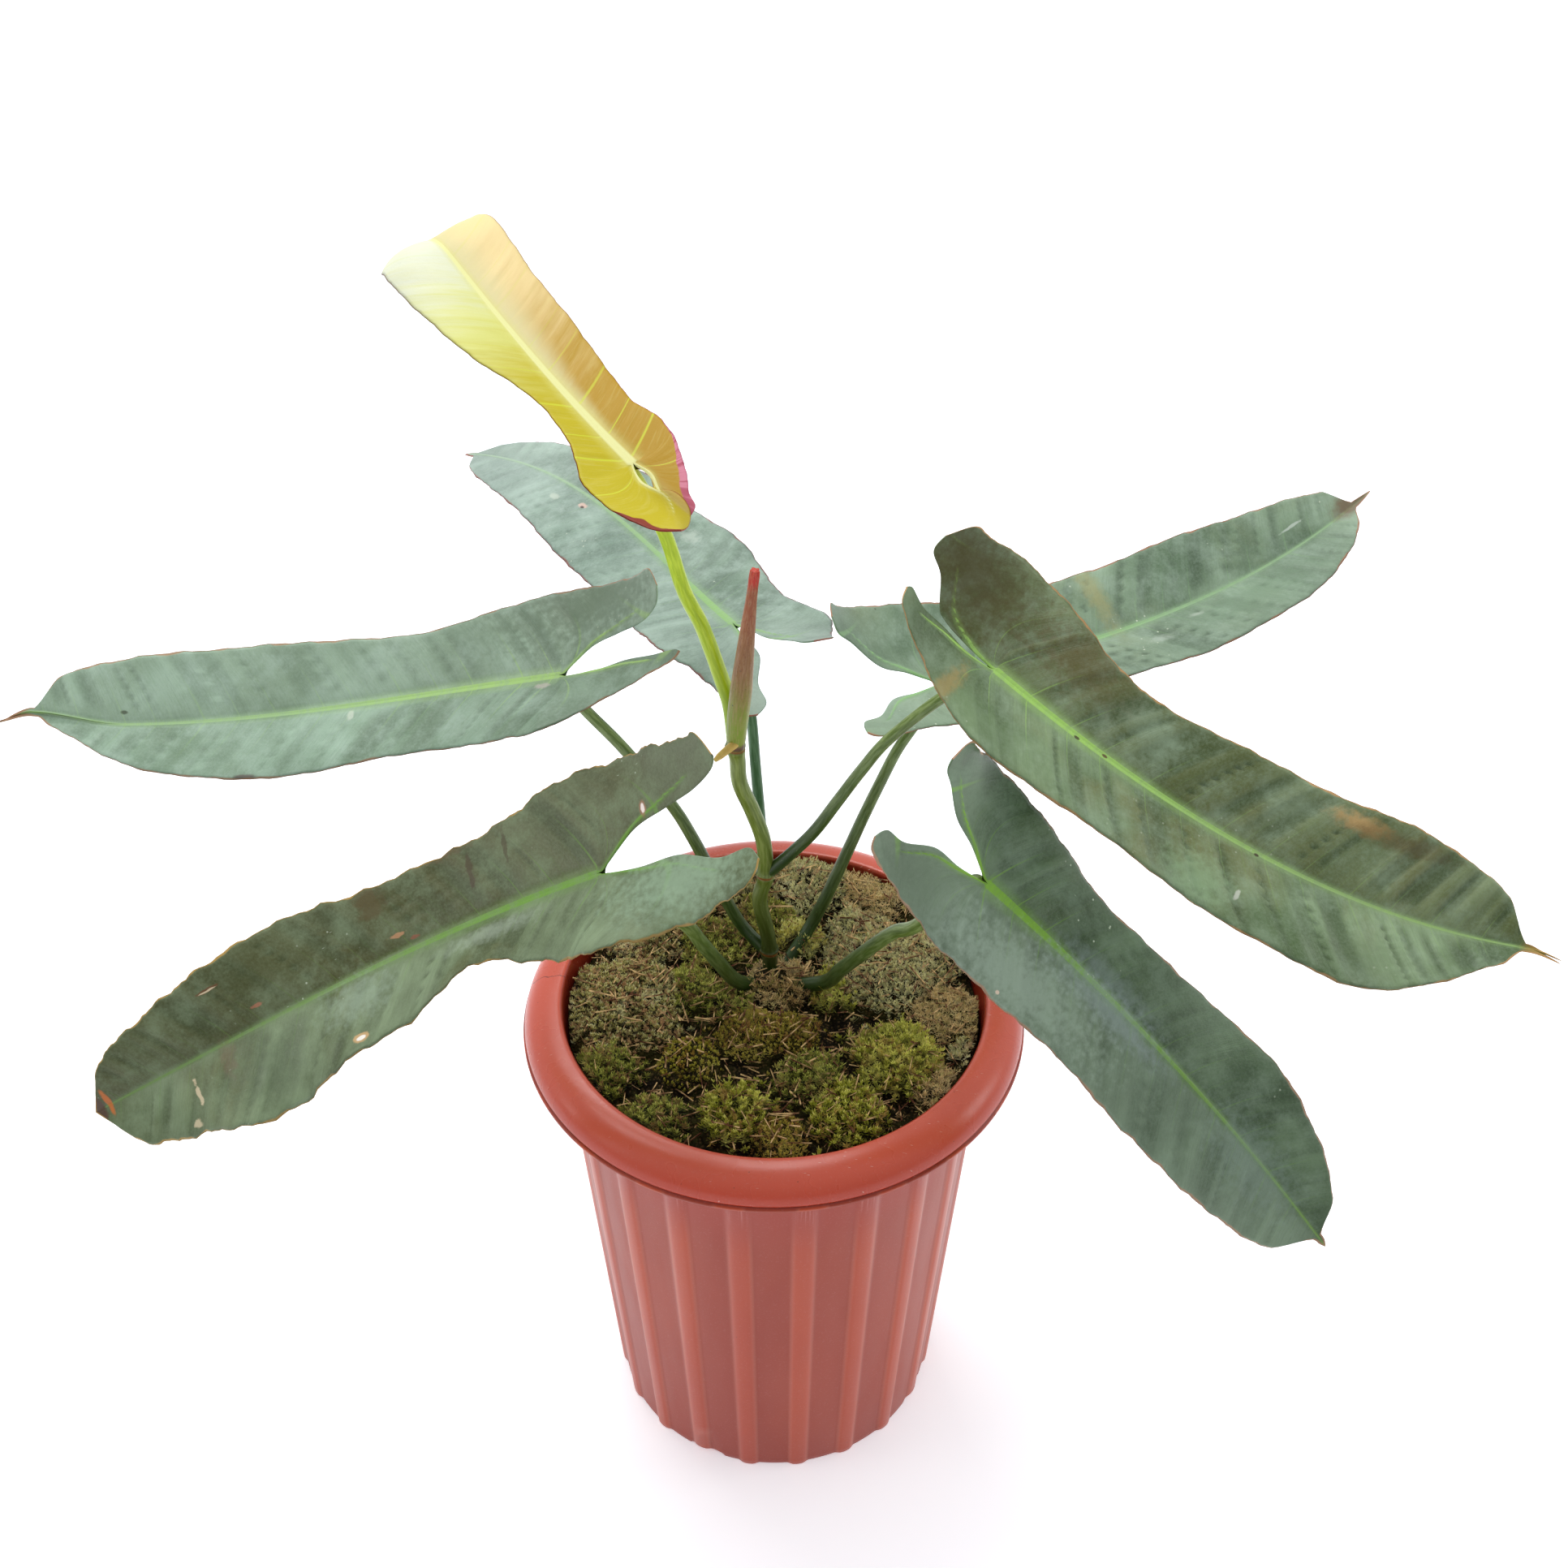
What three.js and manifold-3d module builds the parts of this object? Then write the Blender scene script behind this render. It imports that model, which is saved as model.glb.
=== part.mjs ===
// A potted philodendron: a fluted plastic pot filled with potting mix and moss, a short ringed stem,
// a rolled new leaf in its sheath, and seven arrow-shaped leaves, each grown as one piece with its stalk.
// Lengths are millimetres and angles are degrees. The origin is the middle of the pot's foot, +Z is up,
// +X is to the viewer's right and -Y is towards the viewer.
import * as THREE from "three";
import { mergeVertices } from "three/addons/utils/BufferGeometryUtils.js";
import Module from "manifold-3d";

const wasm = await Module();
wasm.setup();

// Driving dimensions
const GAP = 0.3;

const POT = {
  height: 287,
  footRadius: 88.2,
  shoulderRadius: 109.2,
  mouthRadius: 109,
  rimRadius: 130,
  rimDrop: 14.5,
  flangeDepth: 3,
  flangeEdge: 2.2,
  grooveTop: 2.8,
  grooveDepth: 1.6,
  rollInset: 0.8,
  crestRadius: 111,
  lipDrop: 1.6,
  wall: 2.4,
  floor: 6,
  flutes: 20,
  fluteRise: 1.8,
  firstFlute: -99.5,
  arches: 4,
  firstArch: -115.6,
  archWidth: 22,
  archHeight: 4,
  archFoot: 0.4,
  archReach: 42,
  drainReach: 56,
  drainRadius: 5,
};

// How far a flute stands out across its width: shares of the way to the next flute, and of the flute's rise
const FLUTE_PROFILE = [[-0.22, 0], [-0.13, 0.8], [0, 1], [0.13, 0.8], [0.22, 0], [0.5, 0]];

const MIX = { top: 266, sectors: 60 };

// Each mound of moss as its place across and along the pot, its radius and how high it stands on the dome
const MOSS = {
  edgeHeight: 276,
  dome: 9,
  mounds: [
    [-79, 0, 34, 11], [-44, 9, 19, 6], [14, 88, 28, 10], [53, 80, 20, 8], [58, 24, 34, 12], [90, -6, 21, 8],
    [3, 9, 19, 9], [-12, -26, 18, 9], [9, -26, 15, 10], [-43, -43, 17, 11], [-87, -45, 20, 7],
    [-61, -80, 19, 7], [-19, -77, 18, 9], [3, -91, 14, 9], [37, -77, 20, 10], [62, -41, 23, 12],
    [32, 6, 15, 8], [82, -59, 17, 8], [14, 42, 13, 9], [-32, 42, 20, 7], [-22, -3, 14, 6], [19, -54, 17, 9],
    [-28, 80, 20, 8], [-66, 52, 26, 8], [-98, 18, 14, 7], [88, 42, 22, 8], [-62, -20, 16, 8],
    [-2, 62, 18, 7], [46, 52, 18, 9], [100, -32, 12, 6],
  ],
  edgeInset: 1,
  edgeDrop: 3,
  rings: 13,
  sectors: 48,
};

const STEM = {
  path: [[-2, 19, 250], [-2, 19, 289], [-3, 17.5, 312], [-7, 16, 339], [-4, 15, 357], [-5, 13, 382],
    [-10, 12, 402], [-16, 10, 422], [-17, 9, 438], [-18, 8, 449]],
  radius: 3.9,
  nodeHeights: [301, 358, 446],
  nodeRise: 0.9,
  nodeSpan: 4,
};

const ROOT_NUB = { path: [[-18, 6, 446], [-21, 2, 452], [-27, -3, 448]], radii: [2, 1.7, 1.1] };

const SPEAR = {
  path: [[-17.5, 4, 451], [-16.5, 4, 466], [-14.5, 3, 486], [-12, 2, 512], [-9.5, 1, 537], [-7.5, 0, 554]],
  radii: [3.6, 4.7, 5.2, 4.5, 3.1, 1.5],
};

// A blade's thickness, how deep the midrib's keel is at the stalk and which share of it is gone at the tip
const BLADE = 0.9;
const KEEL = 3.2;
const KEEL_TAPER = 0.92;

// The stalk comes in under the midrib and its last stretch sinks into the keel
const STALK = { sides: 8, below: 4, sunkReach: 15, sunkDepth: 2.4, sunkRadius: 1.5 };

// Where along a blade its half widths are measured, as shares of the length from the stalk to the tip,
// and along a lobe from the stalk back to the lobe's tip
const STATIONS = [0, 0.06, 0.14, 0.25, 0.4, 0.55, 0.7, 0.8, 0.88, 0.94];
const LOBE_STATIONS = [-1, -0.94, -0.75, -0.5, -0.25];
const LOBE_BLUNTNESS = 0.76;
const SINUS_TAPER = 0.7;

// Where the mesh has its lines: shares of the way from the midrib to the margin, and steps along the midrib
const COLUMNS = [0, 0.28, 0.55, 0.8, 1];
const MIDRIB_STEPS = 60;
const SPLIT_SPANS = { from: 7, to: 11 };

// The half width over which a blade's curl is stated, and the length over which a lobe's lift is
const CURL_WIDTH = 45;
const LIFT_LENGTH = 70;

// Each leaf starts where its stalk meets the blade. Heading, pitch and roll are the midrib's at its base,
// middle and tip, and a droop bends it down between two shares of its length. Left and right are seen
// along the midrib from above: half widths at the stations, the lobe's length, its half widths a quarter,
// a half and three quarters of the way back, where its tip and its inner edge lie, how steeply the half
// blade rises from the midrib, how it curls at base and tip, how its lobe lifts and folds, and the rise,
// wavelength and phase of its edge wave.
const LEAVES = [
  {
    name: "leaf_young",
    colour: 0xb9a23c,
    at: [-59, -10, 617.5],
    length: 214,
    heading: [132, 126, 128],
    pitch: [14.5, 16, 22.5],
    droop: { angle: 150, from: 0.67, to: 0.94 },
    roll: [-4, 6, -11],
    stalk: [[-18, 11, 446], [-20, 15, 465], [-24, 15, 482], [-32, 12, 514], [-40, 6, 540], [-47, -2, 576]],
    stalkRadii: [4, 3.1],
    left: {
      widths: [28, 21.5, 16, 16, 24, 29, 31, 28, 18, 9],
      lobe: { length: 47, widths: [29, 30, 28], tip: 13, inner: 1.5 },
      bend: { fold: 10, curl: [-2, -98], lift: 12, lobeFold: 20, wave: [0.8, 80, 0] },
    },
    right: {
      widths: [21, 23.5, 21.5, 24, 27, 27.5, 29.5, 28, 20, 10],
      lobe: { length: 36, widths: [16.5, 12, 7], tip: 2, inner: 1 },
      bend: { fold: 12, curl: [8, -14], lift: 12, lobeFold: 20, wave: [0.8, 90, 60] },
    },
  },
  {
    name: "leaf_back_left",
    colour: 0x8fa596,
    at: [-20, 85, 462],
    length: 308,
    heading: [115, 121, 141],
    pitch: [-15, -8, -22],
    roll: [-3, -9, 0],
    stalk: [[-4, 15, 357], [-7, 33, 385], [-9, 46, 404], [-11, 59, 424], [-15, 73, 444]],
    stalkRadii: [2.8, 2.6],
    left: {
      widths: [36, 37, 38, 37, 39, 37, 31, 26, 21, 13],
      lobe: { length: 68, widths: [31, 25, 23], tip: 19, inner: 5 },
      bend: { fold: -1, curl: [-17, -17], lift: -19, lobeFold: -6, wave: [1.5, 90, 20] },
    },
    right: {
      widths: [38, 35, 38, 41, 37, 36, 31, 28, 23, 15],
      lobe: { length: 63, widths: [45, 42, 35], tip: 21, inner: 10 },
      bend: { fold: 2, curl: [-13, -13], lift: 19, lobeFold: -6, wave: [2, 85, 90] },
    },
  },
  {
    name: "leaf_left",
    colour: 0x7d9284,
    at: [-99, 11, 487],
    length: 298,
    heading: [166, 173, 167],
    pitch: [-19, -13, -2],
    roll: [-7, -23, -18],
    stalk: [[-3, 19, 299], [-15, 24, 311], [-23, 23, 329], [-40, 20, 377], [-51, 18, 403], [-72, 15, 440],
      [-90, 13, 467]],
    stalkRadii: [3.3, 2.8],
    left: {
      widths: [40, 38, 36, 35, 35, 35, 28, 18, 9, 4],
      lobe: { length: 70, widths: [31, 24, 22], tip: 20, inner: 3 },
      bend: { fold: 9, curl: [-14, -14], lift: 30, lobeFold: -25, wave: [2, 95, 120] },
    },
    right: {
      widths: [45, 40, 36, 32, 33, 36, 35, 31, 23, 10],
      lobe: { length: 67, widths: [46, 43, 37], tip: 26, inner: 17 },
      bend: { fold: 24, curl: [-8, -8], lift: 35, lobeFold: 8, wave: [2, 100, 0] },
    },
  },
  {
    name: "leaf_front_left",
    colour: 0x74896c,
    at: [-76, -96, 460],
    length: 290,
    heading: [168, 183, 190],
    pitch: [-32, -31, -28],
    roll: [-14, -22, -50],
    stalk: [[-5, 15, 277], [-19, 3, 294], [-27, -11, 320], [-35, -26, 349], [-43, -42, 379],
      [-62, -75, 430]],
    stalkRadii: [4, 3.2],
    left: {
      widths: [43, 38, 33, 23, 37, 39, 43, 37, 32, 20],
      lobe: { length: 90, widths: [43, 40, 37], tip: 26, inner: 6 },
      bend: { fold: 8, curl: [-14, -14], lift: 10, lobeFold: -15, wave: [4, 78, 150] },
    },
    right: {
      widths: [50, 47, 42, 38, 35, 41, 38, 34, 29, 20],
      lobe: { length: 90, widths: [49, 46, 38], tip: 23, inner: 16 },
      bend: { fold: 26, curl: [-8, -8], lift: 25, lobeFold: 8, wave: [2, 90, 0] },
    },
  },
  {
    name: "leaf_front_right",
    colour: 0x6f8a74,
    at: [95.5, -89, 448],
    length: 259,
    heading: [-4, -18, -31],
    pitch: [-47, -46, -46],
    roll: [38, 22, 44],
    stalk: [[3, 14, 279], [26, 1, 295], [34, -10, 315], [45, -23, 340], [58, -38, 368], [68, -50, 384],
      [85.5, -75, 427]],
    stalkRadii: [4, 3.2],
    left: {
      widths: [43, 41, 39, 35, 35, 40, 41, 36, 28, 17],
      lobe: { length: 70, widths: [45, 44, 39], tip: 23, inner: 14 },
      bend: { fold: 6, curl: [-11, -11], lift: 38, lobeFold: 5, wave: [2.5, 85, 40] },
    },
    right: {
      widths: [37, 37, 38, 38, 39, 39, 38, 33, 28, 18],
      lobe: { length: 66, widths: [34, 31, 28], tip: 21, inner: 6 },
      bend: { fold: -4, curl: [-19, -19], lift: 17, lobeFold: 5, wave: [2, 90, 100] },
    },
  },
  {
    name: "leaf_right",
    colour: 0x7b8f77,
    at: [100, -18, 513],
    length: 289,
    heading: [-35, -18, -5],
    pitch: [-24, -22, -4],
    roll: [3, 17, 21],
    stalk: [[-4, 15, 357], [9.5, 10, 377], [20.5, 6, 395], [31.5, 2, 418], [42.5, -1, 440], [54.5, -5, 462],
      [77.5, -12, 492]],
    stalkRadii: [3.2, 2.7],
    left: {
      widths: [47, 43, 38, 36, 39, 41, 41, 35, 25, 11],
      lobe: { length: 65, widths: [47, 46, 38], tip: 19, inner: 2 },
      bend: { fold: 28, curl: [-8, -8], lift: 40, lobeFold: 9, wave: [1.5, 95, 0] },
    },
    right: {
      widths: [39, 42, 39, 38, 39, 43, 44, 34, 19, 8],
      lobe: { length: 58, widths: [34, 29, 26], tip: 16, inner: 5 },
      bend: { fold: 10, curl: [-14, -14], lift: 50, lobeFold: 8, wave: [2, 80, 80] },
    },
  },
  {
    name: "leaf_back_right",
    colour: 0x869c86,
    at: [82, 58, 446],
    length: 294,
    heading: [35, 33, 42],
    pitch: [-11, -1, 16],
    roll: [6, 5, 8],
    stalk: [[2, 24, 276], [18, 41, 294], [27, 43, 315], [37, 46, 342], [45.5, 49, 365], [53.5, 51, 386],
      [62, 53, 407], [71, 55, 423]],
    stalkRadii: [3.5, 2.6],
    left: {
      widths: [45, 42, 39, 37, 39, 41, 37, 32, 24, 14],
      lobe: { length: 70, widths: [47, 45, 40], tip: 28, inner: 12 },
      bend: { fold: 26, curl: [-8, -8], lift: 36, lobeFold: 5, wave: [1.5, 90, 60] },
    },
    right: {
      widths: [39, 39, 38, 36, 38, 38, 35, 29, 20, 9],
      lobe: { length: 64, widths: [34, 31, 31], tip: 26, inner: 7 },
      bend: { fold: 13, curl: [-11, -11], lift: 8, lobeFold: -9, wave: [1.5, 85, 0] },
    },
  },
];

// Meshes and solids

function skin(points, faces) {
  const geometry = new THREE.BufferGeometry();
  const places = points.flatMap((p) => [p.x, p.y, p.z]);
  geometry.setAttribute("position", new THREE.Float32BufferAttribute(places, 3));
  geometry.setIndex(faces.flat());
  geometry.computeVertexNormals();
  return geometry;
}

// A closed skin over rings that have the same number of points, run anticlockwise, with a fan at each end.
function loft(rings) {
  const count = rings[0].length;
  const points = rings.flat();
  const faces = [];
  for (let ring = 0; ring < rings.length - 1; ring++) {
    for (let j = 0; j < count; j++) {
      const a = ring * count + j;
      const b = ring * count + (j + 1) % count;
      faces.push([a, b, b + count], [a, b + count, a + count]);
    }
  }
  const last = (rings.length - 1) * count;
  const startCentre = points.push(middleOf(rings[0])) - 1;
  const endCentre = points.push(middleOf(rings.at(-1))) - 1;
  for (let j = 0; j < count; j++) {
    const next = (j + 1) % count;
    faces.push([startCentre, next, j], [endCentre, last + j, last + next]);
  }
  return skin(points, faces);
}

function middleOf(ring) {
  const sum = new THREE.Vector3();
  for (const point of ring) {
    sum.add(point);
  }
  return sum.divideScalar(ring.length);
}

function solidOf(geometry) {
  const bare = geometry.clone();
  bare.deleteAttribute("normal");
  bare.deleteAttribute("uv");
  const merged = mergeVertices(bare, 1e-4);
  return new wasm.Manifold(new wasm.Mesh({
    numProp: 3,
    vertProperties: Float32Array.from(merged.attributes.position.array),
    triVerts: Uint32Array.from(merged.index.array),
  }));
}

function skinOf(solid) {
  const mesh = solid.getMesh();
  const geometry = new THREE.BufferGeometry();
  geometry.setAttribute("position", new THREE.BufferAttribute(mesh.vertProperties, 3));
  geometry.setIndex(new THREE.BufferAttribute(mesh.triVerts, 1));
  geometry.computeVertexNormals();
  return geometry;
}

// A round tapering tube along a smooth path. Radii are spread evenly along it, extra thickens every ring,
// and swell gives each ring a rise of its own.
function taperedTube(path, radii, sides, steps, extra = 0, swell = () => 0) {
  const curve = new THREE.CatmullRomCurve3(path.map((p) => new THREE.Vector3(...p)));
  const rings = [];
  for (let i = 0; i <= steps; i++) {
    const t = i / steps;
    const centre = curve.getPoint(t);
    const ahead = curve.getTangent(t);
    const side = new THREE.Vector3(0, -1, 0).cross(ahead).normalize();
    const other = ahead.clone().cross(side);
    const place = t * (radii.length - 1);
    const lower = Math.min(Math.floor(place), radii.length - 2);
    const even = THREE.MathUtils.lerp(radii[lower], radii[lower + 1], place - lower);
    const radius = even + extra + swell(centre);
    if (extra > 0 && (i === 0 || i === steps)) {
      centre.addScaledVector(ahead, i === 0 ? -extra : extra);
    }
    rings.push(Array.from({ length: sides }, (_, j) => {
      const turn = 2 * Math.PI * j / sides;
      return centre.clone()
        .addScaledVector(side, radius * Math.cos(turn))
        .addScaledVector(other, radius * Math.sin(turn));
    }));
  }
  return loft(rings);
}

// Pot

// Angles round the pot with close points over each flute, and how far the flute stands out at each.
function fluteRing() {
  const pitch = 360 / POT.flutes;
  const ring = [];
  for (let flute = 0; flute < POT.flutes; flute++) {
    for (const [share, rise] of FLUTE_PROFILE) {
      ring.push({
        angle: THREE.MathUtils.degToRad(POT.firstFlute + (flute + share) * pitch),
        rise: rise * POT.fluteRise,
      });
    }
  }
  return ring;
}

function innerRadius(z) {
  const share = THREE.MathUtils.clamp(z / (POT.height - POT.rimDrop), 0, 1);
  return THREE.MathUtils.lerp(POT.footRadius, POT.shoulderRadius, share) - POT.wall;
}

// Up the fluted wall, round the flange and the rolled rim, down the smooth inside and across the floor.
function potProfile() {
  const under = POT.height - POT.rimDrop - POT.flangeDepth;
  const profile = [
    { r: POT.footRadius, z: 0, fluted: 1 },
    { r: POT.shoulderRadius, z: under, fluted: 1 },
    { r: POT.rimRadius, z: under, fluted: 0 },
    { r: POT.rimRadius, z: under + POT.flangeEdge, fluted: 0 },
    { r: POT.rimRadius - POT.grooveDepth, z: under + POT.grooveTop, fluted: 0 },
  ];
  const rollWidth = POT.rimRadius - POT.rollInset - POT.crestRadius;
  const rollSteps = 7;
  for (let i = 0; i <= rollSteps; i++) {
    const turn = i / rollSteps * Math.PI / 2;
    profile.push({
      r: POT.crestRadius + rollWidth * Math.cos(turn),
      z: POT.height - POT.rimDrop + POT.rimDrop * Math.sin(turn),
      fluted: 0,
    });
  }
  profile.push(
    { r: POT.mouthRadius, z: POT.height - POT.lipDrop, fluted: 0 },
    { r: innerRadius(under), z: under, fluted: 0 },
    { r: innerRadius(POT.floor), z: POT.floor, fluted: 0 },
  );
  return profile;
}

function makePot() {
  const ring = fluteRing();
  const rings = potProfile().map(({ r, z, fluted }) => ring.map(({ angle, rise }) => {
    const reach = r + fluted * rise;
    return new THREE.Vector3(reach * Math.cos(angle), reach * Math.sin(angle), z);
  }));
  let pot = solidOf(loft(rings));
  for (let i = 0; i < POT.arches; i++) {
    const angle = THREE.MathUtils.degToRad(POT.firstArch + i * 360 / POT.arches);
    pot = pot.subtract(drainArch(angle)).subtract(drainHole(angle));
  }
  return skinOf(pot);
}

// A low arched channel under the foot, from the drain hole out through the wall.
function drainArch(angle) {
  const arch = new THREE.Shape();
  const half = POT.archWidth / 2;
  const shoulder = 0.7 * half;
  const under = -1;
  arch.moveTo(-half, under);
  arch.lineTo(half, under);
  arch.lineTo(half, POT.archFoot);
  arch.quadraticCurveTo(shoulder, POT.archHeight, 0, POT.archHeight);
  arch.quadraticCurveTo(-shoulder, POT.archHeight, -half, POT.archFoot);
  arch.closePath();
  const channel = new THREE.ExtrudeGeometry(arch, {
    depth: POT.footRadius - POT.archReach + 10,
    bevelEnabled: false,
    curveSegments: 6,
  });
  channel.rotateX(Math.PI / 2);
  channel.rotateZ(Math.PI / 2);
  channel.translate(POT.archReach, 0, 0);
  channel.rotateZ(angle);
  return solidOf(channel);
}

function drainHole(angle) {
  const hole = new THREE.CylinderGeometry(POT.drainRadius, POT.drainRadius, POT.floor * 3, 16);
  hole.rotateX(Math.PI / 2);
  hole.translate(POT.drainReach, 0, POT.floor / 2);
  hole.rotateZ(angle);
  return solidOf(hole);
}

// Filling

function circle(radius, z, sectors) {
  return Array.from({ length: sectors }, (_, j) => {
    const angle = 2 * Math.PI * j / sectors;
    return new THREE.Vector3(radius * Math.cos(angle), radius * Math.sin(angle), z);
  });
}

function makeMix(stems) {
  const low = POT.floor + GAP;
  let mix = solidOf(loft([
    circle(innerRadius(low) - GAP, low, MIX.sectors),
    circle(innerRadius(MIX.top) - GAP, MIX.top, MIX.sectors),
  ]));
  for (const stem of stems) {
    mix = mix.subtract(stem);
  }
  return skinOf(mix);
}

// Round mounds of moss stand on a low dome, and the highest one at a place counts.
function mossHeight(x, y) {
  const reach = innerRadius(MOSS.edgeHeight);
  const dome = MOSS.edgeHeight + MOSS.dome * (1 - (x * x + y * y) / (reach * reach));
  let mound = 0;
  for (const [middleX, middleY, radius, rise] of MOSS.mounds) {
    const away = Math.hypot(x - middleX, y - middleY) / radius;
    mound = Math.max(mound, rise * Math.sqrt(Math.max(0, 1 - away * away)));
  }
  return dome + mound;
}

function makeMoss(stems) {
  const low = MIX.top + GAP;
  const rings = [circle(innerRadius(low) - GAP, low, MOSS.sectors)];
  for (let i = 0; i < MOSS.rings; i++) {
    const share = 1 - i / MOSS.rings;
    const radius = (innerRadius(MOSS.edgeHeight) - MOSS.edgeInset) * share;
    const drop = i === 0 ? MOSS.edgeDrop : 0;
    rings.push(circle(radius, 0, MOSS.sectors).map((p) => {
      return new THREE.Vector3(p.x, p.y, mossHeight(p.x, p.y) - drop);
    }));
  }
  let moss = solidOf(loft(rings));
  for (const stem of stems) {
    moss = moss.subtract(stem);
  }
  return skinOf(moss);
}

// Stem, root nub and rolled new leaf

function nodeSwell(centre) {
  let swell = 0;
  for (const height of STEM.nodeHeights) {
    const away = (centre.z - height) / STEM.nodeSpan;
    swell = Math.max(swell, STEM.nodeRise * Math.exp(-away * away));
  }
  return swell;
}

function stemSolid(extra = 0) {
  return solidOf(taperedTube(STEM.path, [STEM.radius, STEM.radius], 12, 44, extra, nodeSwell));
}

function nubSolid(extra = 0) {
  return solidOf(taperedTube(ROOT_NUB.path, ROOT_NUB.radii, 8, 5, extra));
}

function spearSolid(extra = 0) {
  return solidOf(taperedTube(SPEAR.path, SPEAR.radii, 12, 12, extra));
}

// Leaves

// A value that runs smoothly through its base, middle and tip values as share goes from 0 to 1.
function along([base, middle, tip], share) {
  return base * (1 - share) * (1 - 2 * share)
    + 4 * middle * share * (1 - share)
    + tip * share * (2 * share - 1);
}

function ribFrame(leaf, share) {
  const heading = THREE.MathUtils.degToRad(along(leaf.heading, share));
  const { angle, from, to } = leaf.droop ?? { angle: 0, from: 0, to: 1 };
  const droop = angle * THREE.MathUtils.smoothstep(share, from, to);
  const pitch = THREE.MathUtils.degToRad(along(leaf.pitch, share) - droop);
  const roll = THREE.MathUtils.degToRad(along(leaf.roll, share));
  const ahead = new THREE.Vector3(
    Math.cos(pitch) * Math.cos(heading),
    Math.cos(pitch) * Math.sin(heading),
    Math.sin(pitch),
  );
  const level = new THREE.Vector3(-Math.sin(heading), Math.cos(heading), 0);
  const above = ahead.clone().cross(level);
  return {
    ahead,
    left: level.clone().multiplyScalar(Math.cos(roll)).addScaledVector(above, Math.sin(roll)),
    up: above.clone().multiplyScalar(Math.cos(roll)).addScaledVector(level, -Math.sin(roll)),
  };
}

// The midrib as points a short step apart, each step taken in the direction that the midrib has there.
function midribOf(leaf) {
  const points = [new THREE.Vector3(...leaf.at)];
  for (let i = 0; i < MIDRIB_STEPS; i++) {
    const { ahead } = ribFrame(leaf, (i + 0.5) / MIDRIB_STEPS);
    points.push(points[i].clone().addScaledVector(ahead, leaf.length / MIDRIB_STEPS));
  }
  return (share) => {
    const place = THREE.MathUtils.clamp(share, 0, 1) * MIDRIB_STEPS;
    const k = Math.min(Math.floor(place), MIDRIB_STEPS - 1);
    return points[k].clone().lerp(points[k + 1], place - k);
  };
}

function sinc(angle) {
  return Math.abs(angle) < 1e-6 ? 1 : Math.sin(angle) / angle;
}

// Where the flat point lies that is u along the midrib, or behind the stalk if u is negative, and v to its
// left. The half blade leaves the midrib at its fold angle and bends by its curl, and a lobe bends up by its
// lift.
function bladePoint(leaf, midrib, u, v, depth) {
  const bend = (v < 0 ? leaf.right : leaf.left).bend;
  const share = THREE.MathUtils.clamp(u / leaf.length, 0, 1);
  const { ahead, left, up } = ribFrame(leaf, share);
  const point = midrib(share);
  const back = Math.max(-u, 0);
  const lift = THREE.MathUtils.degToRad(bend.lift) * back / LIFT_LENGTH;
  const backChord = back * sinc(lift / 2);
  point.addScaledVector(ahead, -backChord * Math.cos(lift / 2));
  point.addScaledVector(up, backChord * Math.sin(lift / 2));
  const raised = up.clone().multiplyScalar(Math.cos(lift)).addScaledVector(ahead, Math.sin(lift));
  const across = Math.abs(v);
  const curl = THREE.MathUtils.lerp(bend.curl[0], bend.curl[1], share);
  const turn = THREE.MathUtils.degToRad(curl) * across / CURL_WIDTH;
  const fold = THREE.MathUtils.degToRad(bend.fold + bend.lobeFold * back / LIFT_LENGTH);
  const chord = across * sinc(turn / 2);
  const [rise, wavelength, phase] = bend.wave;
  const wave = rise * (across / CURL_WIDTH) ** 2
    * Math.sin(2 * Math.PI * u / wavelength + THREE.MathUtils.degToRad(phase));
  point.addScaledVector(left, Math.sign(v) * chord * Math.cos(fold + turn / 2));
  return point.addScaledVector(raised, chord * Math.sin(fold + turn / 2) + wave - depth);
}

// One half of the flat outline: rows from the lobe's tip to the leaf's tip, each from the sinus edge or the
// midrib out to the margin.
function halfOutline(leaf, half) {
  const { length, widths, tip, inner } = half.lobe;
  const innerTip = 0.5 * (tip + inner);
  const outside = [tip, tip + LOBE_BLUNTNESS * (widths[2] - tip), widths[2], widths[1], widths[0]];
  const inside = [tip, tip - LOBE_BLUNTNESS * (tip - innerTip), innerTip, inner, SINUS_TAPER * inner];
  const margin = new THREE.SplineCurve([
    ...LOBE_STATIONS.map((s, i) => new THREE.Vector2(s * length, outside[i])),
    ...STATIONS.map((s, i) => new THREE.Vector2(s * leaf.length, half.widths[i])),
    new THREE.Vector2(leaf.length, 0),
  ]);
  const sinus = new THREE.SplineCurve([
    ...LOBE_STATIONS.map((s, i) => new THREE.Vector2(s * length, inside[i])),
    new THREE.Vector2(0, 0),
  ]);
  const spans = margin.points.length - 1;
  const lobeSpans = sinus.points.length - 1;
  const rows = [];
  for (let span = 0; span <= spans; span++) {
    const split = span >= SPLIT_SPANS.from && span <= SPLIT_SPANS.to ? 2 : 1;
    for (let part = 0; part < (span < spans ? split : 1); part++) {
      const place = span + part / split;
      const outer = margin.getPoint(place / spans);
      const edge = span < lobeSpans ? sinus.getPoint(place / lobeSpans) : new THREE.Vector2(outer.x, 0);
      rows.push({ inner: edge, outer });
    }
  }
  return rows;
}

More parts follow.
